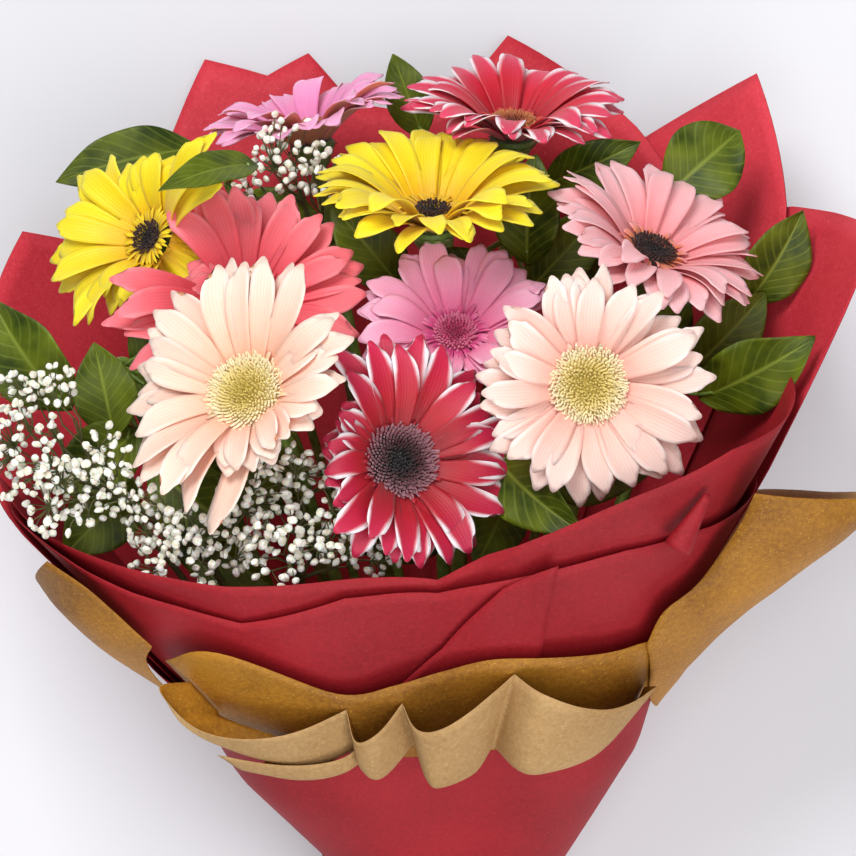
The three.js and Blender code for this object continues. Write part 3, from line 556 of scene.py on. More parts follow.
def thicken(made, millimetres, inner_slot=0):
    """Gives a sheet its wall; inner_slot is the material of the side away from its normals."""
    wall = made.modifiers.new("thickness", "SOLIDIFY")
    wall.thickness = millimetres / 1000
    wall.offset = 0
    wall.material_offset = inner_slot


def joined(meshes):
    """Several meshes as one; their materials stay with their faces."""
    holders = [bpy.data.objects.new("holder", mesh) for mesh in meshes]
    for holder in holders:
        scene.collection.objects.link(holder)
    with bpy.context.temp_override(active_object=holders[0], selected_editable_objects=holders):
        bpy.ops.object.join()
    mesh = holders[0].data
    bpy.data.objects.remove(holders[0])
    return mesh


def reach_at(angle, bloom):
    """The reach and cup of a petal: both differ where a neighbouring head presses on it."""
    for middle, half, reach, *cup in bloom.get("sectors", ()):
        away = angle - math.radians(middle)
        if abs(math.atan2(math.sin(away), math.cos(away))) < math.radians(half):
            return reach, cup[0] if cup else bloom["cup"] * reach / bloom["reach"]
    return bloom["reach"], bloom["cup"]


def petal_ring(rows, skin, steps=(14, 7), gutter=0.18):
    """Petals from rows of (aim, size, rise, tone), each of the first three with three numbers."""
    mesh = bpy.data.meshes.new("roots")
    mesh.from_pydata([(0, 0, 0)] * len(rows), [], [])
    for index, word in enumerate(("aim", "size", "rise")):
        store = mesh.attributes.new(word, "FLOAT_VECTOR", "POINT")
        store.data.foreach_set("vector", [x for row in rows for x in row[index]])
    tones = mesh.attributes.new("tone", "FLOAT", "POINT")
    tones.data.foreach_set("value", [row[3] for row in rows])
    return grow(mesh, "petals", Steps_Along=steps[0], Steps_Across=steps[1], Gutter=gutter,
                Material=skin)


def calyx_cup(skin):
    """The green cup under a head, turned from its profile and closed at both ends."""
    n = CUP_SIDES
    turns = [2 * math.pi * k / n for k in range(n)]
    rings = [(r * math.cos(a), r * math.sin(a), CALYX_TOP - depth)
             for r, depth in CUP_PROFILE for a in turns]
    last = n * (len(CUP_PROFILE) - 1)
    sides = [(j + k, j + (k + 1) % n, j + n + (k + 1) % n, j + n + k)
             for j in range(0, last, n) for k in range(n)]
    mesh = bpy.data.meshes.new("cup")
    mesh.from_pydata(rings, [], sides + [tuple(range(n - 1, -1, -1)), tuple(range(last, last + n))])
    mesh.materials.append(skin)
    tones = mesh.attributes.new("tone", "FLOAT", "POINT")
    tones.data.foreach_set("value", [0.95] * len(rings))
    return mesh


bract_skin = petal_skin("bract_green", "5E8030", "6E9038", "88A850", "4E7028", 0.6)

for number, (name, bloom) in enumerate(BLOOMS.items()):
    rng = random.Random(HEAD_SEED + number)
    outward = Vector(bloom["face"]).normalized()
    level = (Vector((1, 0, 0)) - outward * outward.x).normalized()
    stand = Matrix((level, outward.cross(level), outward)).transposed().to_4x4()
    stand.translation = Vector(bloom["at"])
    rows = []
    for offset, share, root_lift, cup_share, count in PETAL_ROWS:
        for i in range(count):
            turn = 2 * math.pi * (i + offset) / count + rng.uniform(-0.07, 0.07)
            full, cup = reach_at(turn, bloom)
            reach = full * share * rng.uniform(0.93, 1.02)
            cup *= cup_share * rng.uniform(0.8, 1.15)
            lift = root_lift + (0.5 if i % 2 else -0.3)
            rows.append(((turn, rng.uniform(-0.4, 0.4), rng.uniform(-0.14, 0.14)),
                         (PETAL_ROOT, reach, PETAL_HALF * rng.uniform(0.86, 1.1)),
                         (lift, cup, rng.uniform(0.0, 7.0)), rng.uniform(0.92, 1.06)))
    if name == "peach":  # one petal hangs loose over the gypsophila
        rows.append(LOOSE_PETAL)
    rays = petal_ring(rows, petal_skin(f"petal_{name}", *bloom["skin"]))
    colour, fringe_reach = bloom["fringe"]
    fringe = petal_ring([
        ((2 * math.pi * i / FRINGE_PETALS + rng.uniform(-0.06, 0.06), rng.uniform(-0.5, 0.5), 0),
         (bloom["radius"] - FRINGE_INSET, fringe_reach * rng.uniform(0.85, 1.1),
          rng.uniform(0.7, 1.1)),
         (3.0, rng.uniform(1.5, 4.5), rng.uniform(0.0, 2.0)), rng.uniform(0.85, 1.1))
        for i in range(FRINGE_PETALS)],
        petal_skin(f"fringe_{name}", colour, colour, bloom["skin"][1], colour, 0.0),
        steps=(5, 3), gutter=0.3)
    head = joined([rays, fringe])
    head.materials.append(petal_skin(f"petal_back_{name}", *[bloom["back"]] * 4, 0.0))
    head.transform(stand)
    thicken(piece(f"{name}_petals", head, f"gerbera_{name}_petals"), PETAL_WALL, 2)

    disc_slot, *disc_colours = DISCS[bloom["disc"]]
    disc = grow(bpy.data.meshes.new("disc"), "disc_florets",
                Florets=int(bloom["radius"] ** 2 * FLORETS_PER_SQUARE),
                Radius=float(bloom["radius"]), Height=DISC_HEIGHT, Floret_Radius=FLORET_RADIUS,
                Floret_Length=FLORET_LENGTHS[bloom["radius"] > LARGE_DISC], Seed=number,
                Material=floret_skin(f"florets_{name}", *disc_colours))
    disc.transform(stand)
    piece(f"{name}_disc", disc, f"gerbera_{name}_disc")

    bracts = petal_ring([
        ((2 * math.pi * (i + row / 2) / BRACTS, 0.0, 0.0), (4.0 + row, 13.0 - 2.5 * row, 2.3),
         (CALYX_TOP - CALYX_DEPTH + 3 * row, CALYX_DEPTH - 4 - 4 * row, -2.0),
         rng.uniform(0.9, 1.1))
        for row in range(2) for i in range(BRACTS)], bract_skin, steps=(7, 4), gutter=-0.3)
    calyx = joined([bracts, calyx_cup(bract_skin)])
    calyx.transform(stand)
    neck = Vector(bloom["at"]) + outward * (CALYX_TOP - CALYX_DEPTH * NECK_DEPTH)
    path = stem_path(f"gerbera_{name}_stem", neck, outward, STEM_TURN)
    stem = grow(polyline(path), "stem", Radius=STEM_RADIUS, Sides=14, Material=stem_skin)
    piece(f"{name}_stem", joined([calyx, stem]), f"gerbera_{name}_stem")

# ---- Leafy stems ----
# Broad, leathery, glossy leaves of florist's greenery fill the gaps, on thin woody stems.
# Each blade folds a little along its midrib, arches back, and waves along its margin.
LEAF_STEM_RADIUS = 2.3
LEAF_STEM_TURN = 10
STALK_RADIUS = 1.4
STALK_TAPER = [1, 0.95, 0.9, 0.85, 0.8, 0.75, 0.6]
LEAF_WALL = 0.5
BLADE_ROWS = 30
BLADE_HALF_COLUMNS = 7
WIDEST = 0.279                # the blade's outline curve at its widest, which makes it one
# where a stem heads for, and its blades: base, tip, half width, way up
LEAVES = {
    "left_back": ((-100, 122, 100), [
        ((-120, 138, 104), (-183, 121, 114), 15, (-0.1, 0.2, 1)),
        ((-83, 124, 186), (-123, 109, 222), 9, (0.4, 0.5, 0.7)),
        ((-92, 110, 96), (-46, 92, 104), 15, (0, 0.1, 1))]),
    "left": ((-150, 30, 165), [
        ((-172, 13, 185), (-204, 60, 188), 20, (-0.3, -0.3, 1)),
        ((-148, 0, 185), (-156, 40, 190), 15, (0.1, 0, 1)),
        ((-136, 22, 168), (-100, -8, 182), 15, (0.1, -0.1, 1)),
        ((-138, 34, 158), (-112, 66, 150), 14, (0, 0.1, 1)),
        ((-140, -4, 178), (-176, -30, 190), 17, (0, -0.2, 1)),
        ((-128, -20, 172), (-84, -52, 182), 18, (0, -0.2, 1)),
        ((-112, -14, 170), (-66, -40, 176), 15, (0, 0, 1)),
        ((-142, -28, 168), (-172, -60, 176), 17, (0, -0.2, 1)),
        ((-120, -42, 164), (-72, -76, 174), 16, (0, -0.2, 1)),
        ((-90, 6, 150), (-56, -34, 160), 16, (0, 0, 1))]),
    "middle": ((42, 96, 95), [
        ((48, 84, 130), (52, 132, 142), 17, (-0.3, 0.2, 1)),
        ((62, 122, 100), (104, 140, 118), 13, (0, -0.2, 1)),
        ((52, 70, 118), (86, 108, 122), 15, (0.1, 0, 1)),
        ((30, 74, 112), (-12, 74, 118), 14, (0, 0.2, 1)),
        ((-14, 70, 110), (-48, 110, 118), 15, (0, 0.1, 1)),
        ((56, 88, 96), (100, 84, 104), 15, (0.2, 0.1, 1))]),
    "right_back": ((138, 108, 100), [
        ((121, 118, 118), (154, 147, 108), 20, (0.1, 0.1, 1)),
        ((158, 64, 130), (181, 105, 142), 16, (0.3, 0, 1))]),
    "right": ((120, 20, 140), [
        ((134, 16, 162), (181, 42, 190), 18, (0, -0.2, 1)),
        ((130, 30, 128), (164, 66, 134), 16, (0.2, 0, 1)),
        ((122, 40, 118), (100, 82, 122), 15, (-0.1, 0.1, 1))]),
    "front": ((48, -30, 170), [
        ((30, -12, 190), (70, -48, 226), 17, (-0.2, -0.3, 1)),
        ((52, -18, 168), (104, -22, 178), 16, (0.1, -0.2, 1)),
        ((38, -34, 160), (22, -66, 186), 14, (-0.1, -0.3, 1)),
        ((8, -40, 164), (-34, -58, 178), 16, (0, -0.2, 1)),
        ((-4, -26, 160), (-52, -22, 172), 16, (0, 0.1, 1)),
        ((44, -8, 150), (34, 36, 160), 15, (-0.1, 0.1, 1))]),
    "top": ((3, 146, 50), [
        ((-4, 152, 54), (-18, 190, 60), 12, (0, 0, 1))]),
}

# Leaf cuticle: waxed and smooth, so it shines softly; a pale midrib with side veins 5 to 6 mm
# apart on a blade 50 mm long.
leaf_top, tree, shader = material("leaf_cuticle_green", Roughness=0.5, Specular_IOR_Level=0.3)
uv = add(tree, "ShaderNodeUVMap", uv_map="UVMap")
grid = add(tree, "ShaderNodeSeparateXYZ", [uv]).outputs
side = add(tree, "ShaderNodeMath", [grid["Y"], 2.0, -1.0], operation="MULTIPLY_ADD")
away = add(tree, "ShaderNodeMath", [side], operation="ABSOLUTE")
slant = add(tree, "ShaderNodeMath", [away, -0.28, grid["X"]], operation="MULTIPLY_ADD")
veins = add(tree, "ShaderNodeTexWave", {
    "Vector": add(tree, "ShaderNodeCombineXYZ", [slant]), "Scale": 2.9, "Distortion": 1.2,
    "Detail": 1.0, "Detail Scale": 2.0}, bands_direction="X")
vein = add(tree, "ShaderNodeMapRange", {
    "Value": veins.outputs["Fac"], "From Min": 0.8, "From Max": 1.0, "To Max": 0.3})
midrib = add(tree, "ShaderNodeMapRange", {
    "Value": away, "From Min": 0.0, "From Max": 0.09, "To Min": 0.9, "To Max": 0.0})
lines = add(tree, "ShaderNodeMath", [vein, midrib], operation="MAXIMUM")
cells = add(tree, "ShaderNodeTexNoise", {
    "Vector": add(tree, "ShaderNodeTexCoord").outputs["Object"], "Scale": 60.0, "Detail": 4.0})
green = add(tree, "ShaderNodeValToRGB", [cells], stops=[(0.32, "2C3E04"), (0.72, "687612")])
veined = add(tree, "ShaderNodeMix", {"Factor": lines, "A": green, "B": linear("808E30")},
             data_type="RGBA")
raised = add(tree, "ShaderNodeBump", {"Height": lines, "Distance": 0.0005, "Strength": 0.6},
             invert=True)
feed(tree, shader, {"Base Color": veined, "Normal": raised})

# The underside has no wax: greyer, paler and matt.
leaf_back = mottled("leaf_underside_green", 90.0, [(0.0, "6C7E48"), (1.0, "8C9C66")],
                    detail=3.0, Roughness=0.7)


def grid_mesh(name, rows, *skins):
    """A surface through rows of points, with a UV map that runs along and across the rows."""
    count = len(rows[0])
    mesh = bpy.data.meshes.new(name)
    faces = [(i * count + j, i * count + j + 1, (i + 1) * count + j + 1, (i + 1) * count + j)
             for i in range(len(rows) - 1) for j in range(count - 1)]
    mesh.from_pydata([tuple(p) for row in rows for p in row], [], faces)
    uv = mesh.uv_layers.new(name="UVMap")
    corners = np.empty(len(mesh.loops), int)
    mesh.loops.foreach_get("vertex_index", corners)
    places = np.stack([corners // count / (len(rows) - 1), corners % count / (count - 1)], 1)
    uv.data.foreach_set("uv", places.ravel())
    mesh.shade_smooth()
    for skin in skins:
        mesh.materials.append(skin)
    return mesh


def leaf_blade(base, tip, half, up, seed):
    """A blade from its short neck to its tip, with its fold, midrib, arch and wavy margin."""
    rng = random.Random(seed)
    phase, wave = rng.uniform(0, 6), rng.uniform(0.05, 0.1)
    start, along = Vector(base), Vector(tip) - Vector(base)
    length = along.length
    along.normalize()
    across = Vector(up).cross(along).normalized()
    normal = along.cross(across)
    rows = []
    for i in range(BLADE_ROWS):
        # x runs along the outline, s along the blade, from its neck just behind the base
        x = 0.004 + 0.992 * i / (BLADE_ROWS - 1)
        s = x * 1.12 - 0.12
        width = half * x ** 0.85 * (1 - x) / WIDEST
        arch = 0.4 * length * s * (1 - s) - 0.02 * length
        row = []
        for j in range(2 * BLADE_HALF_COLUMNS + 1):
            t = 1 - j / BLADE_HALF_COLUMNS
            rise = 0.24 * width * abs(t) ** 1.4 - 0.3 * max(0, 1 - abs(t) * 7)
            ripple = wave * half * t * t * math.sin(13 * s + phase + (1.4 if t > 0 else 0))
            row.append(start + along * (s * length) + across * (width * t)
                       + normal * (arch + rise + ripple))
        rows.append(row)
    return grid_mesh("blade", rows, leaf_top, leaf_back)


for number, (name, (towards, blades)) in enumerate(LEAVES.items()):
    node = f"leaves_{name}"
    heel = Vector(towards)
    direction = (Vector(blades[0][0]) - heel).normalized()
    path = stem_path(node, heel, direction, LEAF_STEM_TURN)
    twigs = [grow(polyline(path), "stem", Radius=LEAF_STEM_RADIUS, Sides=10, Material=stem_skin)]
    for base, tip, *_ in blades:
        into = (Vector(tip) - Vector(base)).normalized()
        bend = heel.lerp(Vector(base), 0.6) - into * 6
        stalk = bent(heel, bend, Vector(base) + into * 2, len(STALK_TAPER) - 1)
        twigs.append(grow(polyline(stalk, STALK_TAPER), "stem", Radius=STALK_RADIUS, Sides=8,
                          Material=stem_skin))
    foliage = joined([leaf_blade(*blade, seed=10 * number + i) for i, blade in enumerate(blades)])
    thicken(piece(f"{name}_leaves", foliage, node), LEAF_WALL, 1)
    piece(f"{name}_leaf_stems", joined(twigs), node)

# ---- Gypsophila ----
# Each spray forks again and again into hair-thin green twigs, each ending in one tiny double
# white flower 3 to 5 mm across, so that a spray is a loose cloud of white dots.
SPRAY_STEM_RADIUS = 1.7
SPRAY_STEM_TURN = 10
FLORETS_PER_SQUARE_MM = 0.05  # of a cloud's section
FLORETS_APART = 3.2
FLORETS_PER_FORK = 6
WHITE_RADIUS = 2.2
SPRAY_SEED = 70
# where a spray forks, and its clouds of florets: middle and radius
SPRAYS = {
    "left": ((-150, -30, 190), [
        (-186, -12, 226, 24), (-166, -32, 232, 20), (-192, 16, 214, 14), (-172, 20, 216, 12),
        (-146, -12, 224, 14)]),
    "low_left": ((-105, -60, 190), [
        (-120, -40, 222, 20), (-96, -58, 224, 18), (-142, -30, 222, 17), (-80, -32, 214, 20),
        (-126, -58, 218, 14)]),
    "low_middle": ((-60, -70, 190), [
        (-68, -54, 224, 20), (-44, -44, 216, 20), (-56, -24, 206, 18), (-24, -58, 208, 12)]),
    "top": ((-55, 90, 90), [(-68, 134, 130, 20), (-48, 122, 130, 15), (-88, 118, 136, 9)]),
}

# a floret is a ball crumpled into ruffles, turned and stretched a little differently each time
tree, given = node_tree("gypsophila_florets", Radius="Float", Ruffle="Float", Seed="Int")
ball = add(tree, "GeometryNodeMeshIcoSphere", {"Radius": given["Radius"], "Subdivisions": 2})
folds = add(tree, "ShaderNodeTexNoise", {"Scale": 1.1, "Detail": 1.0})
depth = add(tree, "ShaderNodeMath", [folds, 0.5], operation="SUBTRACT")
amount = add(tree, "ShaderNodeMath", [depth, given["Ruffle"]], operation="MULTIPLY")
push = add(tree, "ShaderNodeVectorMath", {
    "Vector": add(tree, "GeometryNodeInputNormal"), "Scale": amount}, operation="SCALE")
ruffled = add(tree, "GeometryNodeSetPosition", {"Geometry": ball, "Offset": push})
spin = add(tree, "FunctionNodeRandomValue", {
    "Max": (6.28, 6.28, 6.28), "Seed": given["Seed"]}, data_type="FLOAT_VECTOR")
growth = add(tree, "FunctionNodeRandomValue", {
    "Min": (0.65, 0.65, 0.5), "Max": (1.2, 1.2, 0.95), "Seed": given["Seed"]},
    data_type="FLOAT_VECTOR")
placed = add(tree, "GeometryNodeInstanceOnPoints", {
    "Points": given["Geometry"], "Instance": ruffled, "Scale": growth,
    "Rotation": add(tree, "FunctionNodeEulerToRotation", [spin])})
end_tree(tree, given, placed)

# Gypsophila petals: thin and white, each lit through by its neighbours; their cream patches, laid at
# random about 2 mm across, are painted shade for their folds.
white_petals_painted_shade = mottled("gypsophila_white", 500.0, [(0.35, "E0DBC0"), (0.6, "FFFEF8")],
                       Roughness=0.7, Subsurface_Weight=0.3, Subsurface_Scale=0.002)

# Gypsophila twig: dry, wiry and olive brown.
twig_skin = mottled("twig_olive", 300.0, [(0.0, "3C3A1E"), (1.0, "6E7240")], Roughness=0.7)

for number, (name, (place, clouds)) in enumerate(SPRAYS.items()):
    rng = random.Random(SPRAY_SEED + number)
    hub = Vector(place)
    outward = (Vector(clouds[0][:3]) - hub).normalized()
    # each line has the shares of the full radius at its two ends
    lines = [(stem_path(f"gypsophila_{name}", hub, outward, SPRAY_STEM_TURN), 1.0, 0.9)]
    flowers = []
    for x, y, z, radius in clouds:
        middle = Vector((x, y, z))
        fork = hub.lerp(middle, 0.45) + Vector((0, 0, 3))
        lines.append(([hub - outward, hub.lerp(fork, 0.5) + Vector((0, 0, 2)), fork], 0.7, 0.5))
        spots = []
        while len(spots) < FLORETS_PER_SQUARE_MM * math.pi * radius ** 2:
            share = Vector((rng.uniform(-1, 1), rng.uniform(-1, 1), rng.uniform(-0.7, 0.7)))
            spot = middle + share * radius
            if share.length < 1 and all((spot - q).length > FLORETS_APART for q in spots):
                spots.append(spot)
        forks = [fork.lerp(rng.choice(spots), rng.uniform(0.45, 0.7))
                 for _ in range(len(spots) // FLORETS_PER_FORK + 1)]
        for end in forks:
            sway = Vector((rng.uniform(-3, 3), rng.uniform(-3, 3), rng.uniform(0, 3)))
            lines.append(([fork, fork.lerp(end, 0.5) + sway, end], 0.36, 0.26))
        for spot in spots:
            start = min(forks, key=lambda end: (end - spot).length)
            sway = Vector((rng.uniform(-1, 1), rng.uniform(-1, 1), rng.uniform(-1, 1)))
            lines.append(([start, start.lerp(spot, 0.5) + sway, spot], 0.24, 0.18))
        flowers += spots
    wood = joined([
        grow(polyline(points, list(np.linspace(first, last, len(points)))), "stem",
             Radius=SPRAY_STEM_RADIUS, Sides=6 if first > 0.5 else 3, Material=twig_skin)
        for points, first, last in lines])
    piece(f"{name}_twigs", wood, f"gypsophila_{name}")
    dots = bpy.data.meshes.new("dots")
    dots.from_pydata([tuple(p) for p in flowers], [], [])
    bloomed = grow(dots, "gypsophila_florets", Radius=WHITE_RADIUS, Ruffle=2.6, Seed=number,
                   Material=white_petals_painted_shade)
    piece(f"{name}_gypsophila", bloomed, f"gypsophila_{name}")

# ---- Red wrapping paper ----
# Sheets of matt dyed paper stand round the stems one outside the other, held in the tie and fanning
# out in facets between creases. The inner faces of those behind and beside the flowers are painted a
# lighter red: painted light, for the side that faces the lamps. The sleeve outside them is one
# closed wrap, flat where it lies, whose skirt sags out to its sides.
WAIST = 24.0
PITCH = 1.2                   # from layer to layer at the tie
SPREAD = 0.014                # how much wider each layer flares, as a slope
SLEEVE_LAYER = 3
HALF_ANGLE = dict(right=27, front=13, left=32.5, back=35)
SKIRT_ANGLE = 18
TIE_HALF = 10
PAPER_GRIP = -10
PAPER_END = -92
PAPER_WALL = 0.4
PAPER_ROWS = 40
COLUMN_STEP = 2.0             # degrees
CREASE = 1.6                  # how far creases stand in and out, from
CREASED_HEIGHT = 260          # this far above the tie
CREASE_GAPS = (7, 18)         # degrees
CRUMPLE_WIDTH = 16            # degrees
CRUMPLE_LENGTH = 45
SLACK = 12
SLACK_HEIGHTS = ((TIE_HALF, 0), (22, 4), (40, SLACK), (112, SLACK), (140, 4), (160, 0))
# rims run through points of direction round the axis in degrees and height
# sheets with rose=True take the lighter red on their inner face, which is painted light
SHEETS = {
    "back_middle": dict(layer=0, rose=True, rim=[
        (-92, 325), (-82.5, 346), (-78, 369), (-60, 341), (-52, 325)]),
    "back_left": dict(layer=1, rose=True, rim=[
        (-127, 322), (-120, 338), (-111.5, 371), (-105, 357), (-100, 363), (-96, 339), (-87, 330)]),
    "back_right": dict(layer=1, rose=True, rim=[(-60, 332), (-45, 379), (-30, 339), (-26, 325)]),
    "right": dict(layer=2, rose=True, rim=[
        (-38, 325), (-30, 338), (-5.5, 367), (0, 310), (5, 262)]),
    "left": dict(layer=2, rose=True, rim=[
        (-195, 272), (-180, 280), (-158.5, 313), (-142.5, 333), (-135, 315), (-120, 300)]),
    "inner": dict(layer=0, rim=[
        (-22, 290), (0, 303), (30, 312), (45, 300), (60, 283), (90, 256), (112, 264), (135, 269),
        (165, 278), (176, 290)]),
    "front": dict(layer=1, rim=[
        (-21, 240), (0, 255), (30, 267), (45, 268), (67, 260), (90, 251), (115, 256), (135, 246),
        (150, 260), (165, 282), (190, 268)]),
    "fold": dict(layer=2, rim=[(60, 268), (72, 255), (90, 217), (110, 190), (120, 150)]),
    "sleeve": dict(layer=SLEEVE_LAYER, foot=PAPER_END, slack=True, rim=[
        (-180, 190), (-150, 250), (-120, 300), (-60, 300), (-30, 250), (0, 190), (90, 180),
        (180, 190)]),
}


def wrap_point(degrees, h, layer, bulge):
    """A point of the wrap: direction round the axis, height along it, layer out from the flowers."""
    phi = math.radians(degrees)
    c, s = math.cos(phi), math.sin(phi)
    spread = (max(0, c) ** 2 * HALF_ANGLE["right"] + max(0, s) ** 2 * HALF_ANGLE["front"]
              + max(0, -c) ** 2 * HALF_ANGLE["left"] + max(0, -s) ** 2 * HALF_ANGLE["back"])
    beyond = max(abs(h) - TIE_HALF, 0)
    if h > 0:
        flare = beyond * (math.tan(math.radians(spread)) + layer * SPREAD)
    else:
        flare = beyond * math.tan(math.radians(SKIRT_ANGLE))
    radius = WAIST + layer * PITCH + flare + bulge
    point = in_bunch(radius * c, radius * s, h)
    # under the axis the layers lie flat on the table, one over the other
    floor = (SLEEVE_LAYER - layer) * (1 + max(h, 0) / 250) + 0.8
    point.z = max(point.z, floor - min(bulge, 0))
    return point


def paper_skin(name, dark, light, fleck, roughness):
    """Wrapping paper: dyed fibre 2 to 4 mm long pressed flat, so it is matt with a faint tooth.
    Its colour is uneven from fibre to fibre, in clouds 70 mm across and in specks of 1 mm."""
    made, tree, shader = material(name, Roughness=roughness, Specular_IOR_Level=0.3)
    place = add(tree, "ShaderNodeTexCoord").outputs["Object"]
    fibre = add(tree, "ShaderNodeTexNoise", {
        "Vector": place, "Scale": 420.0, "Detail": 5.0, "Roughness": 0.65})
    cloud = add(tree, "ShaderNodeTexNoise", {"Vector": place, "Scale": 14.0, "Detail": 3.0})
    broad = add(tree, "ShaderNodeMath", [cloud, 0.55], operation="MULTIPLY")
    both = add(tree, "ShaderNodeMath", [fibre, 0.45, broad], operation="MULTIPLY_ADD")
    shade = add(tree, "ShaderNodeValToRGB", [both], stops=[(0.38, dark), (0.62, light)])
    specks = add(tree, "ShaderNodeTexNoise", {"Vector": place, "Scale": 900.0, "Detail": 2.0})
    few = add(tree, "ShaderNodeMapRange", {
        "Value": specks, "From Min": 0.62, "From Max": 0.74, "To Max": 0.6})
    flecked = add(tree, "ShaderNodeMix", {"Factor": few, "A": shade, "B": linear(fleck)},
                  data_type="RGBA")
    tooth = add(tree, "ShaderNodeBump", {"Height": fibre, "Distance": 0.0002, "Strength": 0.5})
    feed(tree, shader, {"Base Color": flecked, "Normal": tooth})
    return made


red_paper = paper_skin("paper_dyed_red", "8A131D", "A41C27", "BC3038", 0.66)
# the same red paper painted lighter: painted light for the inner faces that face the lamps
painted_light_red_paper = paper_skin("paper_dyed_rose", "C62C3A", "DC3C4A", "EE626C", 0.66)


def height_at(corners, place):
    """The height at a place between corners, on the straight lines that join them."""
    return float(np.interp(place, [at for at, _ in corners], [high for _, high in corners]))


def slack_at(degrees, h):
    """How far the sleeve sags out to its sides between the ribbon and the frill, as it lies."""
    return height_at(SLACK_HEIGHTS, h) * math.cos(math.radians(degrees)) ** 2


def paper_sheet(layer, rim, seed, foot=PAPER_GRIP, slack=False, rose=False):
    """A sheet between its foot and its rim, with creases that run up it from the tie."""
    rng = random.Random(seed)
    first, last = rim[0][0], rim[-1][0]
    folds = [first - 5]
    while folds[-1] < last + 5:
        folds.append(folds[-1] + rng.uniform(*CREASE_GAPS))
    heights = [rng.uniform(-1, 1) for _ in folds]
    steps = set([d for d, _ in rim] + list(np.arange(first, last, COLUMN_STEP)) + folds[1:-1])
    columns = []
    for degrees in sorted(d for d in steps if first <= d <= last):
        top = height_at(rim, degrees)
        ridge = CREASE * float(np.interp(degrees, folds, heights))
        column = []
        for k in range(PAPER_ROWS):
            h = foot + (top - foot) * (k / (PAPER_ROWS - 1))
            loose = min(max(h - TIE_HALF, 0) / CREASED_HEIGHT, 1)
            crumple = noise.noise(Vector(
                (degrees / CRUMPLE_WIDTH, h / CRUMPLE_LENGTH, layer * 7 + seed))) * CREASE * 0.5
            bulge = (ridge + crumple) * loose + slack * slack_at(degrees, h)
            column.append(wrap_point(degrees, h, layer, bulge))
        columns.append(column)
    # a rose sheet's inner face takes the lighter red that is painted light
    return grid_mesh("sheet", columns, red_paper, painted_light_red_paper if rose else red_paper)


for number, (name, sheet) in enumerate(SHEETS.items()):
    wrapped = paper_sheet(seed=number, **sheet)
    thicken(piece(f"wrap_{name}", wrapped, f"paper_{name}"), PAPER_WALL, 1)

# the sleeve's loose edge springs out a little at the left, above the tie
EDGE_FROM, EDGE_TO = 152, 208
EDGE_TOP, EDGE_FOOT = 52, -6
EDGE_SPRING = 0.42
rows = [[wrap_point(d, h, SLEEVE_LAYER, PITCH + slack_at(d, h) + EDGE_SPRING * (EDGE_TOP - h)
                    * math.sin(math.pi * (d - EDGE_FROM) / (EDGE_TO - EDGE_FROM)))
         for h in np.linspace(EDGE_TOP, EDGE_FOOT, 16)]
        for d in np.linspace(EDGE_FROM, EDGE_TO, 25)]
thicken(piece("wrap_lap", grid_mesh("lap", rows, red_paper), "paper_sleeve"),
        PAPER_WALL)

# and a corner of the front sheet has rolled itself up into a little cone, tighter at its tip
CURL_RADIUS = 7.0
CURL_TAPER = 4.2
CURL_SPIRAL = 0.4
start = wrap_point(39, 269, 1, 9)
end = wrap_point(34, 288, 1, 1)
lie = (end - start).normalized()
lean = lie.cross(UP).normalized()
rows = [[start.lerp(end, t) + (lean * math.cos(a) + lean.cross(lie) * math.sin(a))
         * (CURL_RADIUS - CURL_TAPER * t - CURL_SPIRAL * a) for t in np.linspace(0, 1.2, 12)]
        for a in np.linspace(-1.2, 4.6, 28)]
thicken(piece("wrap_curl", grid_mesh("curl", rows, red_paper), "paper_front"),
        PAPER_WALL)

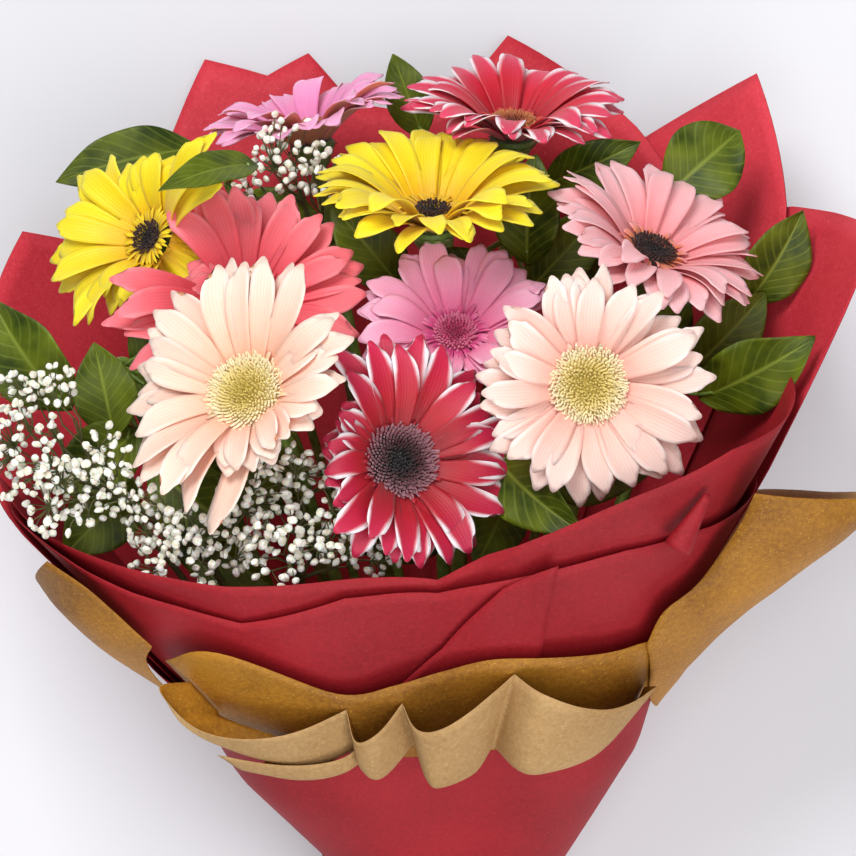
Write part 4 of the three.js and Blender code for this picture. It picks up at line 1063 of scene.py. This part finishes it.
# ---- Kraft paper frill and flaps ----
# Kraft paper, metallic gold on its inner face, lies over the sleeve: a strip, and in front of it
# a row of loops pinched to it by hand. At each side it runs out into a flap that flares.
# Each sheet runs through lines of (direction, height, stand-off from the sleeve).
KRAFT_WALL = 0.35
HUG = -1.5                    # pulled tight on the sleeve
PINCHED = -0.3                # pressed on the strip, where a loop turns sharply
RIPPLE_WIDTH = 9              # degrees
RIPPLE_LENGTH = 16
RIPPLES_FROM = 8              # stand-off where the ripples have their full 1 mm
KRAFTS = {
    "loops": [
        [(148, 205, PINCHED), (144.5, 215, 20), (142, 188, 23), (130, 186, 19), (119, 190, PINCHED),
         (115, 178, 14), (109, 183, 15), (104, 190, PINCHED), (98, 185, 18), (90, 189, 21),
         (79, 198, 12), (69, 204, PINCHED), (64.7, 200, 16), (51, 185, 20), (36, 181, 13),
         (28, 168, PINCHED)],
        [(148, 190, PINCHED), (144.5, 195, 22), (141.5, 176, 21), (129, 160.5, 15),
         (119, 165, PINCHED), (116, 157, 14), (111, 151.6, 16), (102.5, 165, PINCHED), (97, 150, 20),
         (92, 147.5, 22), (82, 149, 14), (73, 160, PINCHED), (69, 153, 22), (58, 149, 21),
         (42, 150, 12), (27, 158, PINCHED)],
        [(148, 182, PINCHED), (146, 183, 3), (142, 178, 3), (129, 164, 1), (119, 163, PINCHED),
         (115, 159, 1), (110, 155, 1), (102.5, 160, PINCHED), (97, 154, 1), (91, 152, 1),
         (82, 153, 1), (73, 152, PINCHED), (69, 157, 1), (58, 154, 1), (42, 154, 1),
         (26, 154, PINCHED)]],
    "strip": [
        [(150, 218, HUG), (138, 232, HUG), (120, 201, HUG), (105, 202, HUG), (90, 208, HUG),
         (75, 214, HUG), (60, 212, HUG), (45, 208, HUG), (37, 207, HUG), (28, 200, HUG),
         (16, 172, HUG)],
        [(150, 178, HUG), (135, 165, HUG), (120, 156, HUG), (105, 150, HUG), (90, 150, HUG),
         (75, 150, HUG), (60, 150, HUG), (45, 150, HUG), (37, 150, HUG), (27, 150, HUG),
         (16, 149, HUG)]],
    "wing_right": [
        [(37, 206, 0), (36, 226, HUG), (30, 238, HUG), (28, 268, HUG), (29, 290, HUG)],
        [(22, 152, 2), (15.6, 189, 14), (16, 217, 26), (16.7, 250, 40), (12.5, 263, 46)],
        [(0, 125, 1), (-8, 150, 12), (-8, 180, 26), (-7.7, 205, 40), (-7.7, 222, 48)],
        [(-15, 120, 0), (-24, 140, 10), (-24, 160, 22), (-25, 175, 36), (-27.6, 190, 48)]],
    "wing_left": [
        [(155, 281, HUG), (152, 268, HUG), (151, 252, HUG), (150.5, 238, HUG), (150, 228, HUG)],
        [(174, 228, 6), (161, 238, 8), (158, 226, 8), (157, 217, 5), (156, 208, 0)],
        [(190, 195, 2), (176, 190, 4), (172, 180, 4), (170, 170, 2), (166, 165, HUG)]],
}
TUCK = [[(141, 172, 26), (130, 165, 20), (121, 164, 13), (117, 166, 2)],
        [(139, 158, 22), (130, 152, 18), (121, 154, 13), (117, 158, 2)],
        [(139, 160, 2), (130, 154, 1), (121, 155, 1), (117, 157, 0)]]

kraft_outer = paper_skin("paper_kraft_tan", "A27C4C", "BE9A68", "D2B284", 0.75)
# the gold face is its own colour drawn darker, as painted shade for the hollows of the frill
kraft_inner_painted_shade = paper_skin("paper_kraft_gold", "805014", "B07820", "DCAC4C", 0.6)


def eased(stations, steps, pinched):
    """A smooth run through stations, with a sharp turn at those that are pinched."""
    points = np.array(stations, float)
    last = len(points) - 1
    run = []
    for i in range(last):
        step = points[i + 1] - points[i]
        before = step if i == 0 or pinched[i] else (points[i + 1] - points[i - 1]) / 2
        after = step if i + 1 == last or pinched[i + 1] else (points[i + 2] - points[i]) / 2
        for k in range(steps + (i + 1 == last)):
            t = k / steps
            run.append(points[i] + before * t + (3 * step - 2 * before - after) * t ** 2
                       + (before + after - 2 * step) * t ** 3)
    return run


def kraft_columns(lines, around, across):
    """Places all over a kraft sheet, with so many steps from station to station each way."""
    pinched = [off == PINCHED for _, _, off in lines[0]]
    runs = [eased(line, around, pinched) for line in lines]
    return [eased(column, across, [False] * len(lines)) for column in zip(*runs)]


for number, (name, lines) in enumerate(KRAFTS.items()):
    rows = [[wrap_point(d, h, SLEEVE_LAYER + 1, off + slack_at(d, h)
                        + min(1, max(off, 0) / RIPPLES_FROM) * noise.noise(Vector(
                            (d / RIPPLE_WIDTH, h / RIPPLE_LENGTH, number * 5))))
             for d, h, off in column] for column in kraft_columns(lines, 8, 8)]
    faces = (kraft_outer, kraft_inner_painted_shade) if name == "loops" else (kraft_inner_painted_shade, kraft_outer)
    thicken(piece(f"frill_{name}", grid_mesh(name, rows, *faces), f"kraft_{name}"),
            KRAFT_WALL, 1)

# the frill's free end is tucked once more under the first loop
rows = [[wrap_point(d, h, SLEEVE_LAYER + 1, off) for d, h, off in column]
        for column in kraft_columns(TUCK, 10, 4)]
tucked = grid_mesh("tuck", rows, kraft_outer, kraft_inner_painted_shade)
thicken(piece("frill_tuck", tucked, "kraft_loops"), KRAFT_WALL, 1)

# ---- Jute twine at the tie ----
# Three-ply jute twine, 2.4 mm thick, is wound tightly round the bare stems in two layers and
# knotted. The paper is wrapped over it, so it shows only from below, between sleeve and stems.
TWINE_TURNS = 4               # in each layer
WINDING_HALF = 3.7
WINDING_RADII = (19.9, 22.2)
COIL_STEPS = 72               # in one turn
PLY_RADIUS = 0.62
PLY_OFFSET = 0.6
PLY_LAY = 11                  # turns of a ply in one turn of the twine

# Jute: dry bast fibre, pale brown and hairy, so it is matt and uneven from fibre to fibre.
jute = mottled("jute_twine_dry", 1500.0, [(0.0, "7C5E34"), (1.0, "C4A470")], detail=4.0,
               relief=0.0003, Roughness=0.9, Sheen_Weight=0.3)


def coil_point(turn, ply):
    """A point of one ply, so many turns round the stems: out in one layer, back in the next."""
    back = turn > TWINE_TURNS
    share = (2 * TWINE_TURNS - turn if back else turn) / TWINE_TURNS
    around = 2 * math.pi * turn
    lay = around * PLY_LAY + 2 * math.pi * ply / 3
    radius = WINDING_RADII[back] + PLY_OFFSET * math.cos(lay)
    h = -WINDING_HALF + 2 * WINDING_HALF * share + PLY_OFFSET * math.sin(lay)
    return in_bunch(radius * math.cos(around), radius * math.sin(around), h)


plies = [grow(polyline([coil_point(i / COIL_STEPS, ply)
                        for i in range(COIL_STEPS * 2 * TWINE_TURNS)]),
              "stem", Radius=PLY_RADIUS, Sides=5, Material=jute) for ply in range(3)]
piece("twine_winding", joined(plies), "tie_twine")

# ---- Satin ribbon ----
# A 16 mm wine-red satin ribbon goes once round the sleeve over the twine and is glued where its
# end laps over its start.
RIBBON_HALF = 8.0
RIBBON_RADIUS = 29.3
RIBBON_WALL = 0.25
RIBBON_STEPS = 96
RIBBON_START = 0.2            # turns round from the right
LAP = 1.08                    # turns of ribbon
LAP_CLIMB = 0.14              # turns over which the end climbs on to the start
LAP_RISE = 0.55

# Satin: filament threads that float along the ribbon, so it shines in a band across them. They
# are drawn 0.3 mm apart, coarser than real ones, so that they show.
satin, tree, shader = material("ribbon_satin_wine", Roughness=0.38, Sheen_Weight=0.2,
                               Anisotropic=0.6)
uv = add(tree, "ShaderNodeUVMap", uv_map="UVMap")
across = add(tree, "ShaderNodeSeparateXYZ", [uv]).outputs["Y"]
threads = add(tree, "ShaderNodeTexWave", {
    "Vector": add(tree, "ShaderNodeCombineXYZ", [across]), "Scale": 16.0},
    bands_direction="X").outputs["Fac"]
shade = add(tree, "ShaderNodeValToRGB", [threads], stops=[(0.0, "74141C"), (1.0, "981E28")])
weave = add(tree, "ShaderNodeBump", {"Height": threads, "Distance": 0.0001, "Strength": 0.5})
feed(tree, shader, {"Base Color": shade, "Normal": weave})

rows = []
for i in range(RIBBON_STEPS + 1):
    turn = LAP * i / RIBBON_STEPS
    angle = 2 * math.pi * (turn + RIBBON_START)
    radius = RIBBON_RADIUS + LAP_RISE * max(0, turn - LAP + LAP_CLIMB) / LAP_CLIMB
    rows.append([in_bunch(radius * math.cos(angle), radius * math.sin(angle),
                          RIBBON_HALF * (k / 3 - 1)) for k in range(7)])
ribbon = piece("ribbon_strip", grid_mesh("ribbon", rows, satin), "ribbon_band")
thicken(ribbon, RIBBON_WALL)
